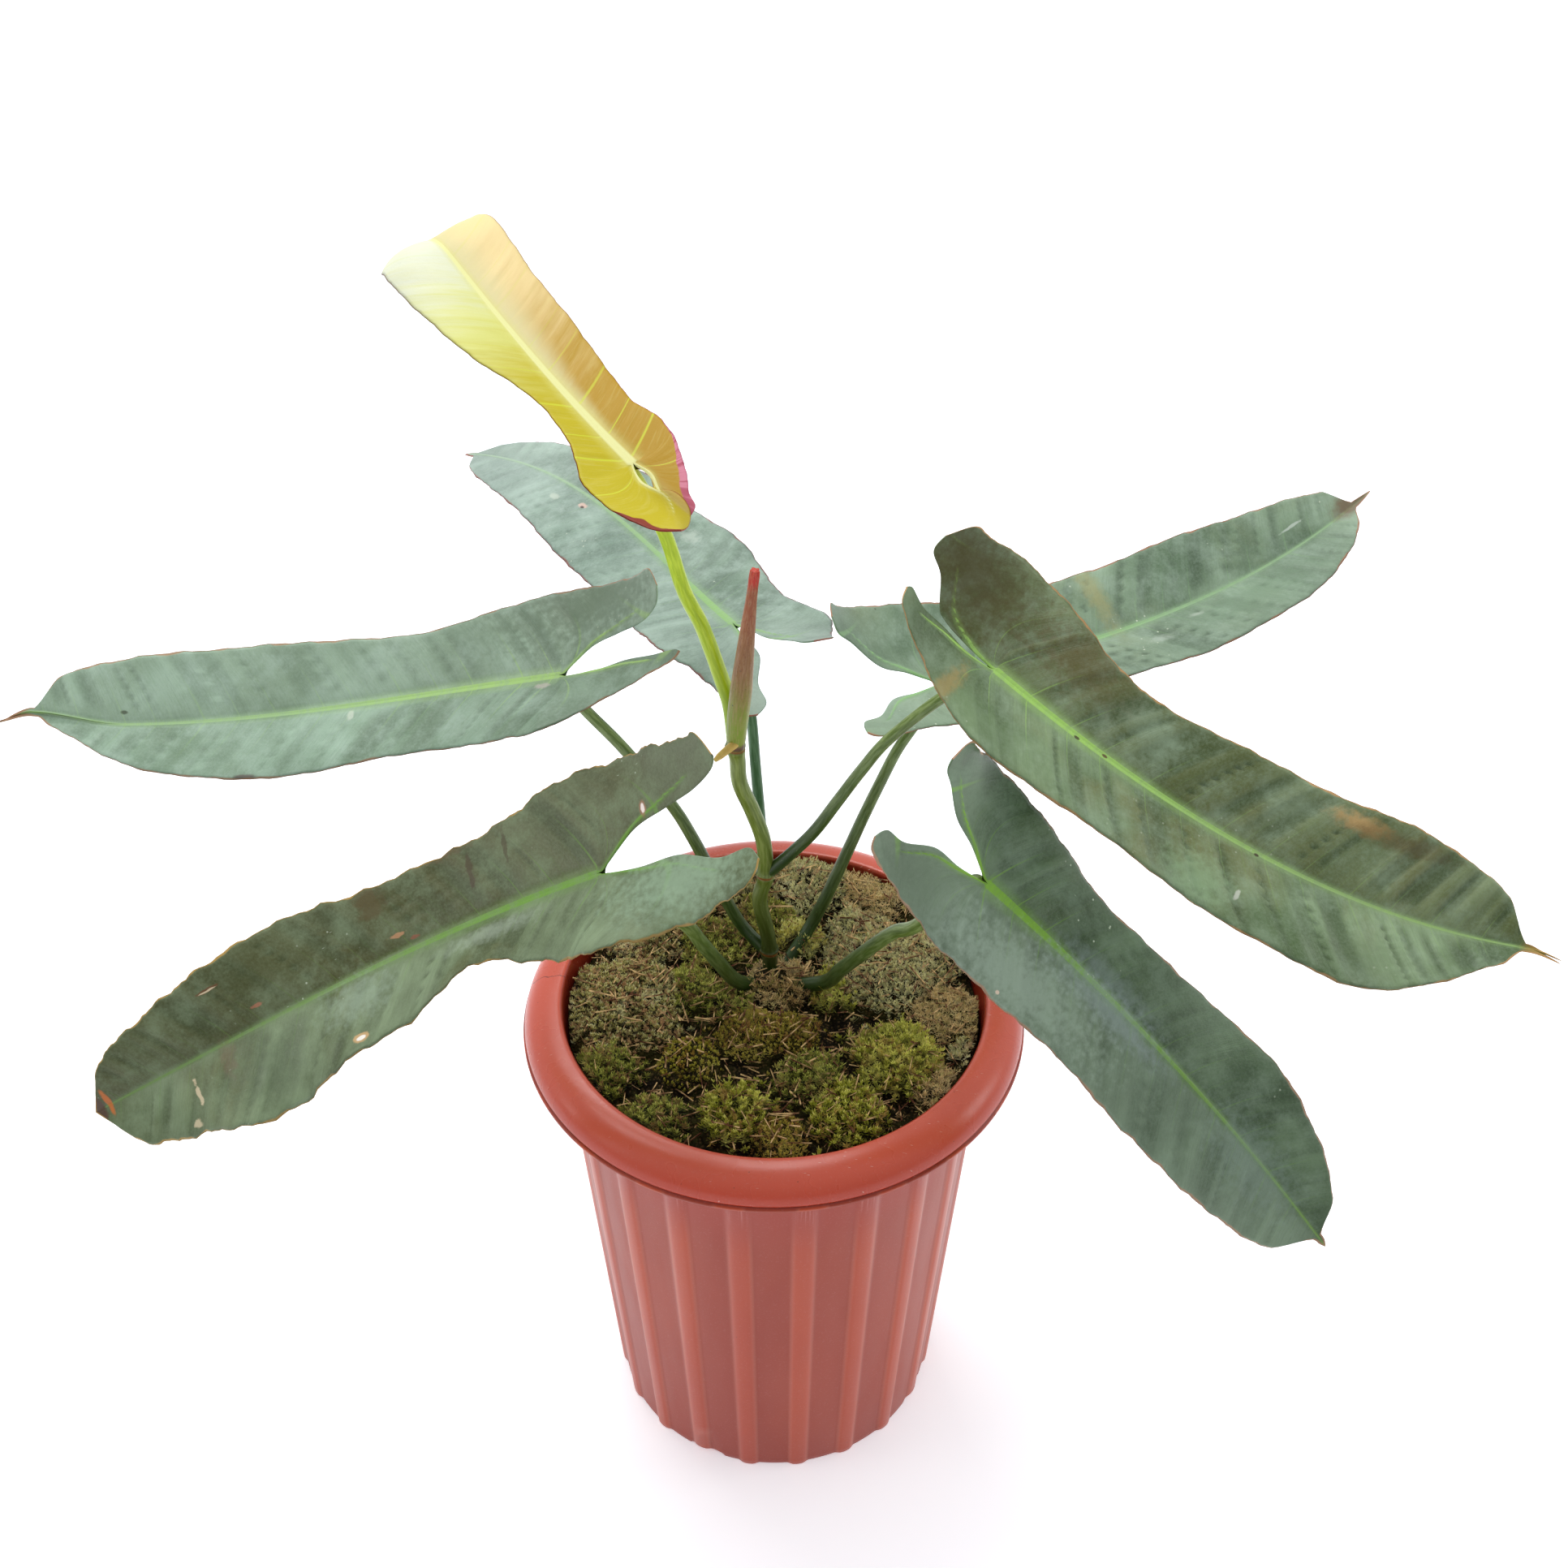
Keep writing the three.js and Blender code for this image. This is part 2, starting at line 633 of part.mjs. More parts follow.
function bladeSkin(leaf) {
  const midrib = midribOf(leaf);
  const index = new Map();
  const flat = [];
  const vertex = (u, v, side) => {
    const key = `${u.toFixed(3)} ${v.toFixed(3)} ${Math.abs(v) < 1e-4 ? "middle" : side}`;
    if (!index.has(key)) {
      index.set(key, flat.push([u, v]) - 1);
    }
    return index.get(key);
  };
  const faces = [];
  for (const [half, sign] of [[leaf.left, 1], [leaf.right, -1]]) {
    const grid = halfOutline(leaf, half).map(({ inner, outer }) => COLUMNS.map((share) => {
      const p = inner.clone().lerp(outer, share);
      return vertex(p.x, sign * p.y, sign);
    }));
    for (let row = 0; row < grid.length - 1; row++) {
      for (let c = 0; c < COLUMNS.length - 1; c++) {
        const [a, b, d, e] = [grid[row][c], grid[row + 1][c], grid[row + 1][c + 1], grid[row][c + 1]];
        for (const face of [[a, b, d], [a, d, e]]) {
          if (new Set(face).size === 3) {
            faces.push(sign > 0 ? face : [face[0], face[2], face[1]]);
          }
        }
      }
    }
  }
  return thicken(leaf, midrib, flat, faces);
}

// Gives the blade its thickness, with a keel under the midrib, and a wall along every open edge.
function thicken(leaf, midrib, flat, faces) {
  const count = flat.length;
  const top = flat.map(([u, v]) => bladePoint(leaf, midrib, u, v, 0));
  const bottom = flat.map(([u, v]) => {
    const onRib = Math.abs(v) < 1e-4 && u > -1e-4;
    const keel = onRib ? KEEL * (1 - KEEL_TAPER * u / leaf.length) : 0;
    return bladePoint(leaf, midrib, u, v, BLADE + keel);
  });
  const edges = new Set(faces.flatMap(([a, b, c]) => [`${a} ${b}`, `${b} ${c}`, `${c} ${a}`]));
  const all = [];
  for (const [a, b, c] of faces) {
    all.push([a, b, c], [a + count, c + count, b + count]);
    for (const [p, q] of [[a, b], [b, c], [c, a]]) {
      if (!edges.has(`${q} ${p}`)) {
        all.push([q, p, p + count], [q, p + count, q + count]);
      }
    }
  }
  return skin([...top, ...bottom], all);
}

// The stalk runs up to the blade and on under the first stretch of the midrib, where it sinks into the keel.
function stalkSolid(leaf, extra = 0) {
  const { ahead, up } = ribFrame(leaf, 0);
  const at = new THREE.Vector3(...leaf.at);
  const under = at.clone().addScaledVector(up, -STALK.below).addScaledVector(ahead, -1);
  const sunk = at.clone().addScaledVector(up, -STALK.sunkDepth).addScaledVector(ahead, STALK.sunkReach);
  const path = [...leaf.stalk, under.toArray(), sunk.toArray()];
  const [base, top] = leaf.stalkRadii;
  const radii = path.map((_, i) => {
    const share = i / (path.length - 2);
    return i === path.length - 1 ? STALK.sunkRadius : THREE.MathUtils.lerp(base, top, share);
  });
  return solidOf(taperedTube(path, radii, STALK.sides, 2 * (path.length - 1), extra));
}

function makeLeaf(leaf, cutters) {
  let stalk = stalkSolid(leaf);
  for (const cutter of cutters) {
    stalk = stalk.subtract(cutter);
  }
  return skinOf(solidOf(bladeSkin(leaf)).add(stalk));
}

// Assembly

function addPiece(group, name, geometry, colour, roughness) {
  const material = new THREE.MeshStandardMaterial({ color: colour, roughness, metalness: 0 });
  const mesh = new THREE.Mesh(geometry, material);
  mesh.name = name;
  group.add(mesh);
}

const plant = new THREE.Group();
const stem = stemSolid().add(nubSolid());
const stemClearance = stemSolid(GAP).add(nubSolid(GAP));
const stems = [stemClearance, ...LEAVES.map((leaf) => stalkSolid(leaf, GAP))];
const youngStalk = stalkSolid(LEAVES.find((leaf) => leaf.name === "leaf_young"), GAP);

addPiece(plant, "pot", makePot(), 0xa9503f, 0.42);
addPiece(plant, "potting_mix", makeMix(stems), 0x3b2a1e, 0.95);
addPiece(plant, "moss_carpet", makeMoss(stems), 0x5e6a2c, 0.95);
addPiece(plant, "stem", skinOf(stem), 0x7c9148, 0.5);
const spear = spearSolid().subtract(stemClearance).subtract(youngStalk);
addPiece(plant, "new_leaf_spear", skinOf(spear), 0xa5705a, 0.5);
for (const leaf of LEAVES) {
  addPiece(plant, leaf.name, makeLeaf(leaf, [stemClearance]), leaf.colour, 0.5);
}

export default plant;
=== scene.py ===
# %% [markdown]
# # A potted philodendron, dressed piece by piece
# The plant has a fluted plastic pot, a bed of living moss, a short ringed stem with a rolled new leaf, and
# seven long arrow-shaped leaves. The solid model gives every piece its place. Here each visible piece is
# made again as a fine surface that keeps that place, and gets a finish painted with shader nodes.

import bmesh
import bpy
import numpy as np
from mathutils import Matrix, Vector


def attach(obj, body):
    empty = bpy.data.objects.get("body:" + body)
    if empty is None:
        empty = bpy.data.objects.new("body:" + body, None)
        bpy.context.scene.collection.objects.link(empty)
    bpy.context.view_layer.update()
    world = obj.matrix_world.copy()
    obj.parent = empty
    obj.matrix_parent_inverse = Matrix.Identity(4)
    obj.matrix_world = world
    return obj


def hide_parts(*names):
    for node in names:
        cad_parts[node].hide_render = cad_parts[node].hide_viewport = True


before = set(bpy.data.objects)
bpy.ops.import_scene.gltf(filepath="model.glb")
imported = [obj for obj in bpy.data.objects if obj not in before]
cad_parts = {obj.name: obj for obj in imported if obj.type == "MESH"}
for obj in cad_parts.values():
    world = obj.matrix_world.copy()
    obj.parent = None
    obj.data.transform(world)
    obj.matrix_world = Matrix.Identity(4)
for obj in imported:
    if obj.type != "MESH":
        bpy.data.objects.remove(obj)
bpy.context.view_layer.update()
MM = 0.001
print("solid nodes:", sorted(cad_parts))

# %% [markdown]
# ## The view and the light
# The picture was taken from about forty degrees above the pot, with a lens a little longer than normal, in
# a white studio with large soft lamps. One could build a whole studio, but a white world, three broad area
# lamps and a pale floor give the same soft light with very little. The strongest lamp hangs above and a
# little behind the plant, so that surfaces facing the sky are brighter than those facing the camera, and
# the pot gets a pale streak on each side. The camera comes first, because every later choice is judged in
# it.

# %% Camera, world, lamps and floor
CAMERA_AT, CAMERA_AIM = (0.0053, -0.8859, 1.1866), (0.0053, 0.0, 0.430)
scene = bpy.context.scene
scene.view_settings.view_transform = "Standard"


def aimed(thing, place, target):
    """Puts a camera or lamp at place, with its -Z axis along the line from place to target."""
    direction = Vector(target) - Vector(place)
    thing.location = place
    thing.rotation_euler = direction.to_track_quat("-Z", "Y").to_euler()
    scene.collection.objects.link(thing)
    return thing


lens = bpy.data.cameras.new("camera")
lens.sensor_width = 36.0
lens.lens = 55.9
lens.clip_end = 50.0
camera = aimed(bpy.data.objects.new("camera", lens), CAMERA_AT, CAMERA_AIM)
scene.camera = camera


def softbox(name, place, target, size, power):
    """A square lamp of that width in metres, turned towards target."""
    lamp = bpy.data.lights.new(name, "AREA")
    lamp.shape = "SQUARE"
    lamp.size = size
    lamp.energy = power
    return aimed(bpy.data.objects.new(name, lamp), place, target)


softbox("softbox_above", (-0.45, 0.75, 2.2), (0, 0, 0.35), 1.3, 27)
softbox("softbox_left", (-2.0, -0.3, 1.2), (0, 0, 0.25), 0.8, 5)
softbox("softbox_right", (2.0, 0.1, 1.3), (0, 0, 0.25), 0.8, 6)


def studio_world():
    """A white room that is darker on the side from which the picture is taken, as behind a photographer."""
    world = bpy.data.worlds.new("studio")
    world.use_nodes = True
    tree = world.node_tree
    direction = tree.nodes.new("ShaderNodeTexCoord").outputs["Generated"]
    parts = tree.nodes.new("ShaderNodeSeparateXYZ")
    tree.links.new(direction, parts.inputs[0])
    depth = tree.nodes.new("ShaderNodeMapRange")
    depth.interpolation_type = "SMOOTHSTEP"
    for socket, value in (("From Min", -0.9), ("From Max", 0.5), ("To Min", 0.42), ("To Max", 0.88)):
        depth.inputs[socket].default_value = value
    tree.links.new(parts.outputs["Y"], depth.inputs["Value"])
    background = tree.nodes["Background"]
    background.inputs["Color"].default_value = (0.97, 0.975, 1.0, 1)
    tree.links.new(depth.outputs["Result"], background.inputs["Strength"])
    return world


scene.world = studio_world()
print("camera height in metres:", round(camera.location.z, 3))

# %% [markdown]
# ## Meshes from arrays
# Every piece below is a function of two numbers on a grid, worked out for all points at once. A few helpers
# put such arrays into Blender: one lists the four-sided faces between the lines of a grid, one makes the
# mesh object, and one closes the seams where two grids meet. This is quicker than modelling by hand and it
# can be repeated exactly.

# %% Mesh helpers
def grid_faces(rows, columns, around=False, start=0):
    """Faces between neighbours of a rows by columns grid. With around, the last column joins the first."""
    index = np.arange(rows * columns).reshape(rows, columns) + start
    if around:
        index = np.concatenate([index, index[:, :1]], 1)
    return np.stack([index[:-1, :-1], index[:-1, 1:], index[1:, 1:], index[1:, :-1]], -1).reshape(-1, 4)


def fan_faces(centre, ring, flip=False):
    """Three-sided faces from one point to each pair of neighbours on a closed ring of point numbers."""
    faces = np.stack([np.full(len(ring), centre), ring, np.roll(ring, -1)], -1)
    return faces[:, ::-1] if flip else faces


def arrows(turn, slope):
    """Unit arrows: (cos turn cos slope, sin turn cos slope, sin slope), for arrays of angles."""
    return np.stack([np.cos(turn) * np.cos(slope), np.sin(turn) * np.cos(slope), np.sin(slope)], -1)


def mesh_piece(name, points, face_sets, finishes, attributes=None, smooth=True):
    """A mesh object from points in millimetres. Each set of faces takes the finish of the same rank."""
    mesh = bpy.data.meshes.new(name)
    corners = np.concatenate([faces.reshape(-1) for faces in face_sets])
    sizes = np.concatenate([np.full(len(faces), faces.shape[1]) for faces in face_sets])
    slots = np.concatenate([np.full(len(faces), rank) for rank, faces in enumerate(face_sets)])
    starts = np.concatenate([[0], np.cumsum(sizes)[:-1]])
    mesh.vertices.add(len(points))
    mesh.vertices.foreach_set("co", (np.asarray(points) * MM).astype(np.float32).reshape(-1))
    mesh.loops.add(len(corners))
    mesh.loops.foreach_set("vertex_index", corners.astype(np.int32))
    mesh.polygons.add(len(sizes))
    mesh.polygons.foreach_set("loop_start", starts.astype(np.int32))
    mesh.polygons.foreach_set("material_index", slots.astype(np.int32))
    mesh.polygons.foreach_set("use_smooth", np.full(len(sizes), smooth))
    for label, values in (attributes or {}).items():
        kind, field = ("FLOAT", "value") if values.ndim == 1 else ("FLOAT_VECTOR", "vector")
        layer = mesh.attributes.new(label, kind, "POINT")
        layer.data.foreach_set(field, values.astype(np.float32).reshape(-1))
    mesh.update(calc_edges=True)
    mesh.validate()
    for finish in finishes:
        mesh.materials.append(finish)
    piece = bpy.data.objects.new(name, mesh)
    scene.collection.objects.link(piece)
    return piece


def sealed(piece):
    """Joins points that lie on each other, so that seams are closed, and turns all faces outwards."""
    work = bmesh.new()
    work.from_mesh(piece.data)
    bmesh.ops.remove_doubles(work, verts=work.verts, dist=1e-6)
    bmesh.ops.dissolve_degenerate(work, edges=work.edges, dist=1e-7)
    bmesh.ops.recalc_face_normals(work, faces=work.faces)
    work.to_mesh(piece.data)
    work.free()
    return piece


def stands_for(piece, node):
    """Ties a piece to the plant's root, hides the solid node it replaces, if any, and prints its triangles.
    """
    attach(piece, "root")
    if node:
        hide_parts(node)
    triangles = sum(len(polygon.vertices) - 2 for polygon in piece.data.polygons)
    print(f"{piece.name}: {triangles} triangles")


# %% [markdown]
# ## Painting with nodes
# A finish is a small graph: a pattern gives a number, a mix turns it into colour, and the same pattern can
# drive roughness and bump. Writing each node out takes many lines, so a little paint box keeps the graphs
# readable. A finish starts with one colour and takes coat after coat, each where a pattern says. Patterns
# are placed by the object's own coordinates or by numbers that the piece carries on its points, so that
# they stay on the surface in every view. The white room shows faintly in every skin and lifts its colour,
# so most colours are first lowered by that veil.

# %% A paint box for finishes
VEIL = 0.03


def linear(colour):
    """Turns a screen colour, three numbers from 0 to 255, into the linear colour that shaders expect."""
    value = np.asarray(colour, float) / 255
    return tuple(np.where(value <= 0.04045, value / 12.92, ((value + 0.055) / 1.055) ** 2.4)) + (1.0,)


def under_veil(colour, veil=VEIL):
    """The colour that a skin needs so that it looks like the given one under a faint white reflection."""
    seen = np.array(linear(colour)[:3])
    return tuple(np.maximum(seen - veil, 0.12 * seen)) + (1.0,)


def scaled(colour, factor):
    """A lighter or darker version of a screen colour."""
    return [min(255, factor * c) for c in colour]


class Finish:
    """A material with short ways to add and join its nodes. Its colour is the output of the last coat."""

    def __init__(self, name, **sockets):
        self.material = bpy.data.materials.new(name)
        self.material.use_nodes = True
        self.tree = self.material.node_tree
        self.shader = self.tree.nodes["Principled BSDF"]
        self.colour = None
        for socket, value in sockets.items():
            self.shader.inputs[socket.replace("_", " ")].default_value = value

    def node(self, kind, inputs=(), **settings):
        made = self.tree.nodes.new("ShaderNode" + kind)
        for setting, value in settings.items():
            setattr(made, setting, value)
        for socket, value in dict(inputs).items():
            self.feed(made.inputs[socket], value)
        return made

    def feed(self, socket, value):
        if isinstance(value, bpy.types.NodeSocket):
            self.tree.links.new(value, socket)
        else:
            socket.default_value = value

    def place(self, scale=(1, 1, 1)):
        """The object's own coordinates, stretched by scale."""
        coordinates = self.node("TexCoord").outputs["Object"]
        return self.node("Mapping", {"Vector": coordinates, "Scale": scale}).outputs["Vector"]

    def slanted(self, vector, turn, squeeze):
        """Coordinates turned by three angles and squeezed along y, so that dots become slanting dashes."""
        inputs = {"Vector": vector, "Rotation": turn, "Scale": (1, squeeze, 1)}
        return self.node("Mapping", inputs).outputs["Vector"]

    def carried(self, label, output="Vector"):
        return self.node("Attribute", attribute_name=label).outputs[output]

    def parts(self, vector):
        return self.node("SeparateXYZ", {0: vector}).outputs

    def noise(self, vector, scale, detail=3.0, rough=0.55, distortion=0.0):
        inputs = {"Vector": vector, "Scale": scale, "Detail": detail, "Roughness": rough,
                  "Distortion": distortion}
        return self.node("TexNoise", inputs).outputs["Fac"]

    def cells(self, vector, scale):
        return self.node("TexVoronoi", {"Vector": vector, "Scale": scale}).outputs["Distance"]

    def maths(self, operation, a, b=0.0):
        return self.node("Math", {0: a, 1: b}, operation=operation).outputs[0]

    def plus(self, a, b):
        return self.maths("ADD", a, b)

    def minus(self, a, b):
        return self.maths("SUBTRACT", a, b)

    def times(self, a, b):
        return self.maths("MULTIPLY", a, b)

    def stretch(self, value, low, high, start=0.0, end=1.0):
        """Runs smoothly from start to end as value goes from low to high."""
        inputs = {"Value": value, "From Min": low, "From Max": high, "To Min": start, "To Max": end}
        return self.node("MapRange", inputs, interpolation_type="SMOOTHSTEP").outputs["Result"]

    def near(self, value, level, inner, outer, strength):
        """strength while value is within inner of level, and 0 when it is further off than outer."""
        return self.stretch(self.maths("ABSOLUTE", self.minus(value, level)), inner, outer, strength, 0)

    def dots(self, vector, scale, inner, outer, strength=1.0):
        """Dots at random places: strength within the inner distance of a place, and 0 past the outer one."""
        return self.stretch(self.cells(vector, scale), inner, outer, strength, 0)

    def mix(self, share, a, b):
        made = self.node("Mix", data_type="RGBA")
        for rank, value in ((0, share), (6, a), (7, b)):
            self.feed(made.inputs[rank], value)
        return made.outputs[2]

    def blend(self, share, a, b, veil=VEIL):
        """From screen colour a to screen colour b as share goes from 0 to 1."""
        return self.mix(share, under_veil(a, veil), under_veil(b, veil))

    def coat(self, where, colour, veil=VEIL):
        """Lays a screen colour, or a node's output, over the colour so far, as strongly as where says."""
        ready = isinstance(colour, bpy.types.NodeSocket)
        self.colour = self.mix(where, self.colour, colour if ready else under_veil(colour, veil))

    def stain(self, where, colour):
        """A coat whose colour isn't lowered by the veil, for marks, dust and other dull matter."""
        self.coat(where, colour, 0.0)

    def bumped(self, height, distance, strength=1.0):
        inputs = {"Height": height, "Distance": distance, "Strength": strength}
        return self.node("Bump", inputs).outputs["Normal"]

    def done(self, roughness=None, normal=None):
        self.feed(self.shader.inputs["Base Color"], self.colour)
        for socket, value in (("Roughness", roughness), ("Normal", normal)):
            if value is not None:
                self.feed(self.shader.inputs[socket], value)
        return self.material


# %% [markdown]
# ### The floor
# A pale sheet of paper lies just under the pot. It glows a little, as paper under studio lamps does. It
# belongs to the picture and not to the part.

# %% Floor
FLOOR_HALF, FLOOR_DROP = 8000.0, 0.2
paper = Finish("floor_paper", Roughness=0.6, Emission_Color=(0.93, 0.93, 1.0, 1), Emission_Strength=0.4)
paper_grain = paper.noise(paper.place(), 60.0)
paper.colour = paper.mix(paper_grain, (0.925, 0.95, 0.965, 1), (0.945, 0.97, 0.98, 1))
floor_finish = paper.done(normal=paper.bumped(paper_grain, 0.0002, 0.2))
floor_corners = np.array([[-1, -1, 0], [1, -1, 0], [1, 1, 0], [-1, 1, 0]]) * FLOOR_HALF - [0, 0, FLOOR_DROP]
floor = mesh_piece("floor", floor_corners, [np.array([[0, 1, 2, 3]])], [floor_finish], smooth=False)

# %% [markdown]
# ## The shape of a leaf
# A blade is a long arrow: a spear-shaped front and two rounded lobes behind the stalk. On paper it is flat,
# described by how far it reaches on each side of the midrib. In the plant it droops, rolls, folds up from
# the midrib, curls at the margins and ripples. So the flat outline comes first, and one function bends it
# into place. The solid model uses the same rule and the same bends, which is why the fine leaf lies where
# the solid one does. Only some widths and lobes are nearer to the plant here, by a millimetre or a few.

# %% Numbers that every leaf shares
# where the widths are measured, as shares of the blade in front of the stalk and of the lobe behind it
STATIONS = np.array([0, 0.06, 0.14, 0.25, 0.4, 0.55, 0.7, 0.8, 0.88, 0.94])
LOBE_STATIONS = np.array([-1, -0.94, -0.75, -0.5, -0.25])
LOBE_BLUNTNESS = 0.76
# a half blade turns by its curl over the first of these lengths, and a lobe by its lift over the second
CURL_WIDTH = 45.0
LIFT_LENGTH = 70.0
# thickness of the blade and depth of the keel under it
BLADE = 0.9
KEEL = 3.2


def side(widths, lobe, tip, inner, fold, curl, lift, lobe_fold, wave, sinus=None):
    """One half of a blade: widths and lobe in millimetres, bends in degrees, the ripple as a triple.

    The lobe is its length and three widths from the stalk outwards. Its inner edge is given point by point in
    sinus, or else worked out from tip and inner.
    """
    return {"widths": widths, "lobe": lobe, "tip": tip, "inner": inner, "fold": fold, "curl": curl,
            "lift": lift, "lobe_fold": lobe_fold, "wave": wave, "sinus": sinus}


LEAVES = {
    "leaf_young": {
        "at": (-59, -10, 617.5), "length": 214, "heading": (132, 126, 128), "pitch": (14.5, 16, 22.5),
        "droop": (150, 0.67, 0.94), "roll": (-4, 6, -11), "radii": (4, 3.1),
        "stalk": [(-18, 11, 446), (-20, 15, 465), (-24, 15, 482), (-32, 12, 514), (-40, 6, 540),
                  (-47, -2, 576)],
        "left": side([28, 21.5, 16, 16, 25.5, 29.5, 31, 28, 18, 9], (47, 29, 30, 28), 13, 1.5,
                     10, (-2, -98), 12, 20, (0.8, 80, 0), [13, 6, -2.5, -4, 3.2]),
        "right": side([22.5, 24, 21.5, 24, 27, 27.5, 29.5, 28, 20, 10], (38, 18.5, 14.5, 8), -3, 1,
                      12, (8, -14), 3, 20, (0.8, 90, 60), [-3, -4, -5, -3, 1.4]),
    },
    "leaf_back_left": {
        "at": (-20, 85, 462), "length": 308, "heading": (115, 121, 141), "pitch": (-15, -8, -22),
        "roll": (-3, -9, 0), "radii": (2.8, 2.6),
        "stalk": [(-4, 15, 357), (-7, 33, 385), (-9, 46, 404), (-11, 59, 424), (-15, 73, 444)],
        "left": side([37, 38, 38, 38, 39, 37, 31, 26, 21, 13], (73, 33, 31, 29), 21, 2,
                     -1, (-17, -17), -19, -6, (1.5, 90, 20)),
        "right": side([38, 35, 38, 41, 37, 36, 31, 28, 23, 15], (63, 44, 40, 32), 17, 5,
                      2, (-13, -13), 19, -6, (2, 85, 90)),
    },
    "leaf_left": {
        "at": (-99, 11, 487), "length": 298, "heading": (166, 173, 167), "pitch": (-19, -13, -2),
        "roll": (-7, -23, -18), "radii": (3.3, 2.8),
        "stalk": [(-3, 19, 299), (-15, 24, 311), (-23, 23, 329), (-40, 20, 377), (-51, 18, 403),
                  (-72, 15, 440), (-90, 13, 467)],
        "left": side([40, 38, 36, 35, 35, 35, 28, 18, 9, 4], (72, 28, 19, 15), 12, 3,
                     9, (-14, -14), 30, -25, (2, 95, 120), [12, 9, 5, 0, 0]),
        "right": side([46, 41, 36.5, 32, 33, 36, 35, 31, 23, 10], (67, 46, 43, 38), 24, 17,
                      24, (-8, -8), 35, 8, (2, 100, 0), [24, 16, 13, 14, 12]),
    },
    "leaf_front_left": {
        "at": (-76, -96, 460), "length": 290, "heading": (168, 183, 190), "pitch": (-32, -31, -28),
        "roll": (-14, -22, -50), "radii": (4, 3.2),
        "stalk": [(-5, 15, 277), (-19, 3, 294), (-27, -11, 320), (-35, -26, 349), (-43, -42, 379),
                  (-62, -75, 430)],
        "left": side([44.5, 39.5, 33, 25, 36.5, 41.5, 45, 36.5, 31, 24], (90, 44, 40, 37), 26, 6,
                     8, (-14, -14), 10, -15, (4, 78, 150)),
        "right": side([50, 47, 41, 37, 34.5, 40.5, 37, 33, 27.5, 21.5], (92, 49, 44, 35), 16, 16,
                      26, (-8, -8), 25, 8, (2, 90, 0), [15, 12, 12, 14, 13]),
    },
    "leaf_front_right": {
        "at": (95.5, -89, 448), "length": 259, "heading": (-4, -18, -31), "pitch": (-47, -46, -46),
        "roll": (38, 22, 44), "radii": (4, 3.2),
        "stalk": [(3, 14, 279), (26, 1, 295), (34, -10, 315), (45, -23, 340), (58, -38, 368), (68, -50, 384),
                  (85.5, -75, 427)],
        "left": side([43, 41, 39, 35, 35, 39, 38.5, 33, 25.5, 15], (70, 45, 44, 39), 23, 11,
                     6, (-11, -11), 38, 5, (2.5, 85, 40)),
        "right": side([37, 37, 38, 38, 39, 39, 37.5, 33, 28.5, 21], (66, 34, 31, 28), 21, 4,
                      -4, (-19, -19), 17, 5, (2, 90, 100)),
    },
    "leaf_right": {
        "at": (100, -18, 513), "length": 289, "heading": (-35, -18, -5), "pitch": (-24, -22, -4),
        "roll": (3, 17, 21), "radii": (3.2, 2.7),
        "stalk": [(-4, 15, 357), (9.5, 10, 377), (20.5, 6, 395), (31.5, 2, 418), (42.5, -1, 440),
                  (54.5, -5, 462), (77.5, -12, 492)],
        "left": side([48, 44, 38, 36, 39, 41, 41, 36, 27.5, 14], (66, 49, 47, 39), 20, -1,
                     28, (-8, -8), 40, 9, (1.5, 95, 0)),
        "right": side([39, 42, 39, 38, 39, 43, 42, 30.5, 15.5, 6], (58, 34, 29, 26), 16, 5,
                      10, (-14, -14), 50, 8, (2, 80, 80)),
    },
    "leaf_back_right": {
        "at": (82, 58, 446), "length": 299, "heading": (35, 33, 42), "pitch": (-11, -1, 16),
        "roll": (6, 5, 8), "radii": (3.5, 2.6),
        "stalk": [(2, 24, 276), (18, 41, 294), (27, 43, 315), (37, 46, 342), (45.5, 49, 365),
                  (53.5, 51, 386), (62, 53, 407), (71, 55, 423)],
        "left": side([46, 43, 39, 36, 37.5, 38.5, 34, 29, 22, 13], (70, 48, 48, 44), 32, 12,
                     26, (-8, -8), 36, 5, (1.5, 90, 60)),
        "right": side([39, 39, 38, 36, 38, 38, 35, 29, 20, 9], (65, 33, 30, 30), 25, 4,
                      13, (-11, -11), 8, -9, (1.5, 85, 0)),
    },
}
longest = max(leaf["length"] for leaf in LEAVES.values())
print("leaves:", len(LEAVES), "longest blade in millimetres:", longest)

# %% [markdown]
# ### From the flat outline to the bent blade
# The midrib is followed in short steps, each in the direction it has there. At every step three arrows
# belong to it: ahead, left and up. A flat point then lies so far along the midrib and so far out along a
# gentle arc that starts at the fold angle. Behind the stalk the lobes bend on by their own lift.

# %% The frame of the midrib and the bending rule
def along(values, share):
    """A parabola through the values at base, middle and tip, as share runs from 0 to 1."""
    base, middle, tip = values
    return (base * (1 - share) * (1 - 2 * share) + 4 * middle * share * (1 - share)
            + tip * share * (2 * share - 1))


def smooth_step(value, low, high):
    """0 below low, 1 above high, and 3t^2 - 2t^3 between them."""
    t = np.clip((value - low) / (high - low), 0, 1)
    return t * t * (3 - 2 * t)


def rib_frame(leaf, share):
    """Arrows ahead, left and up for each share of the midrib, from its heading, pitch and roll there."""
    angle, begin, end = leaf.get("droop", (0, 0, 1))
    heading = np.radians(along(leaf["heading"], share))
    pitch = np.radians(along(leaf["pitch"], share) - angle * smooth_step(share, begin, end))
    roll = np.radians(along(leaf["roll"], share))[..., None]
    ahead = arrows(heading, pitch)
    level = np.stack([-np.sin(heading), np.cos(heading), 0 * heading], -1)
    above = np.cross(ahead, level)
    return ahead, level * np.cos(roll) + above * np.sin(roll), above * np.cos(roll) - level * np.sin(roll)


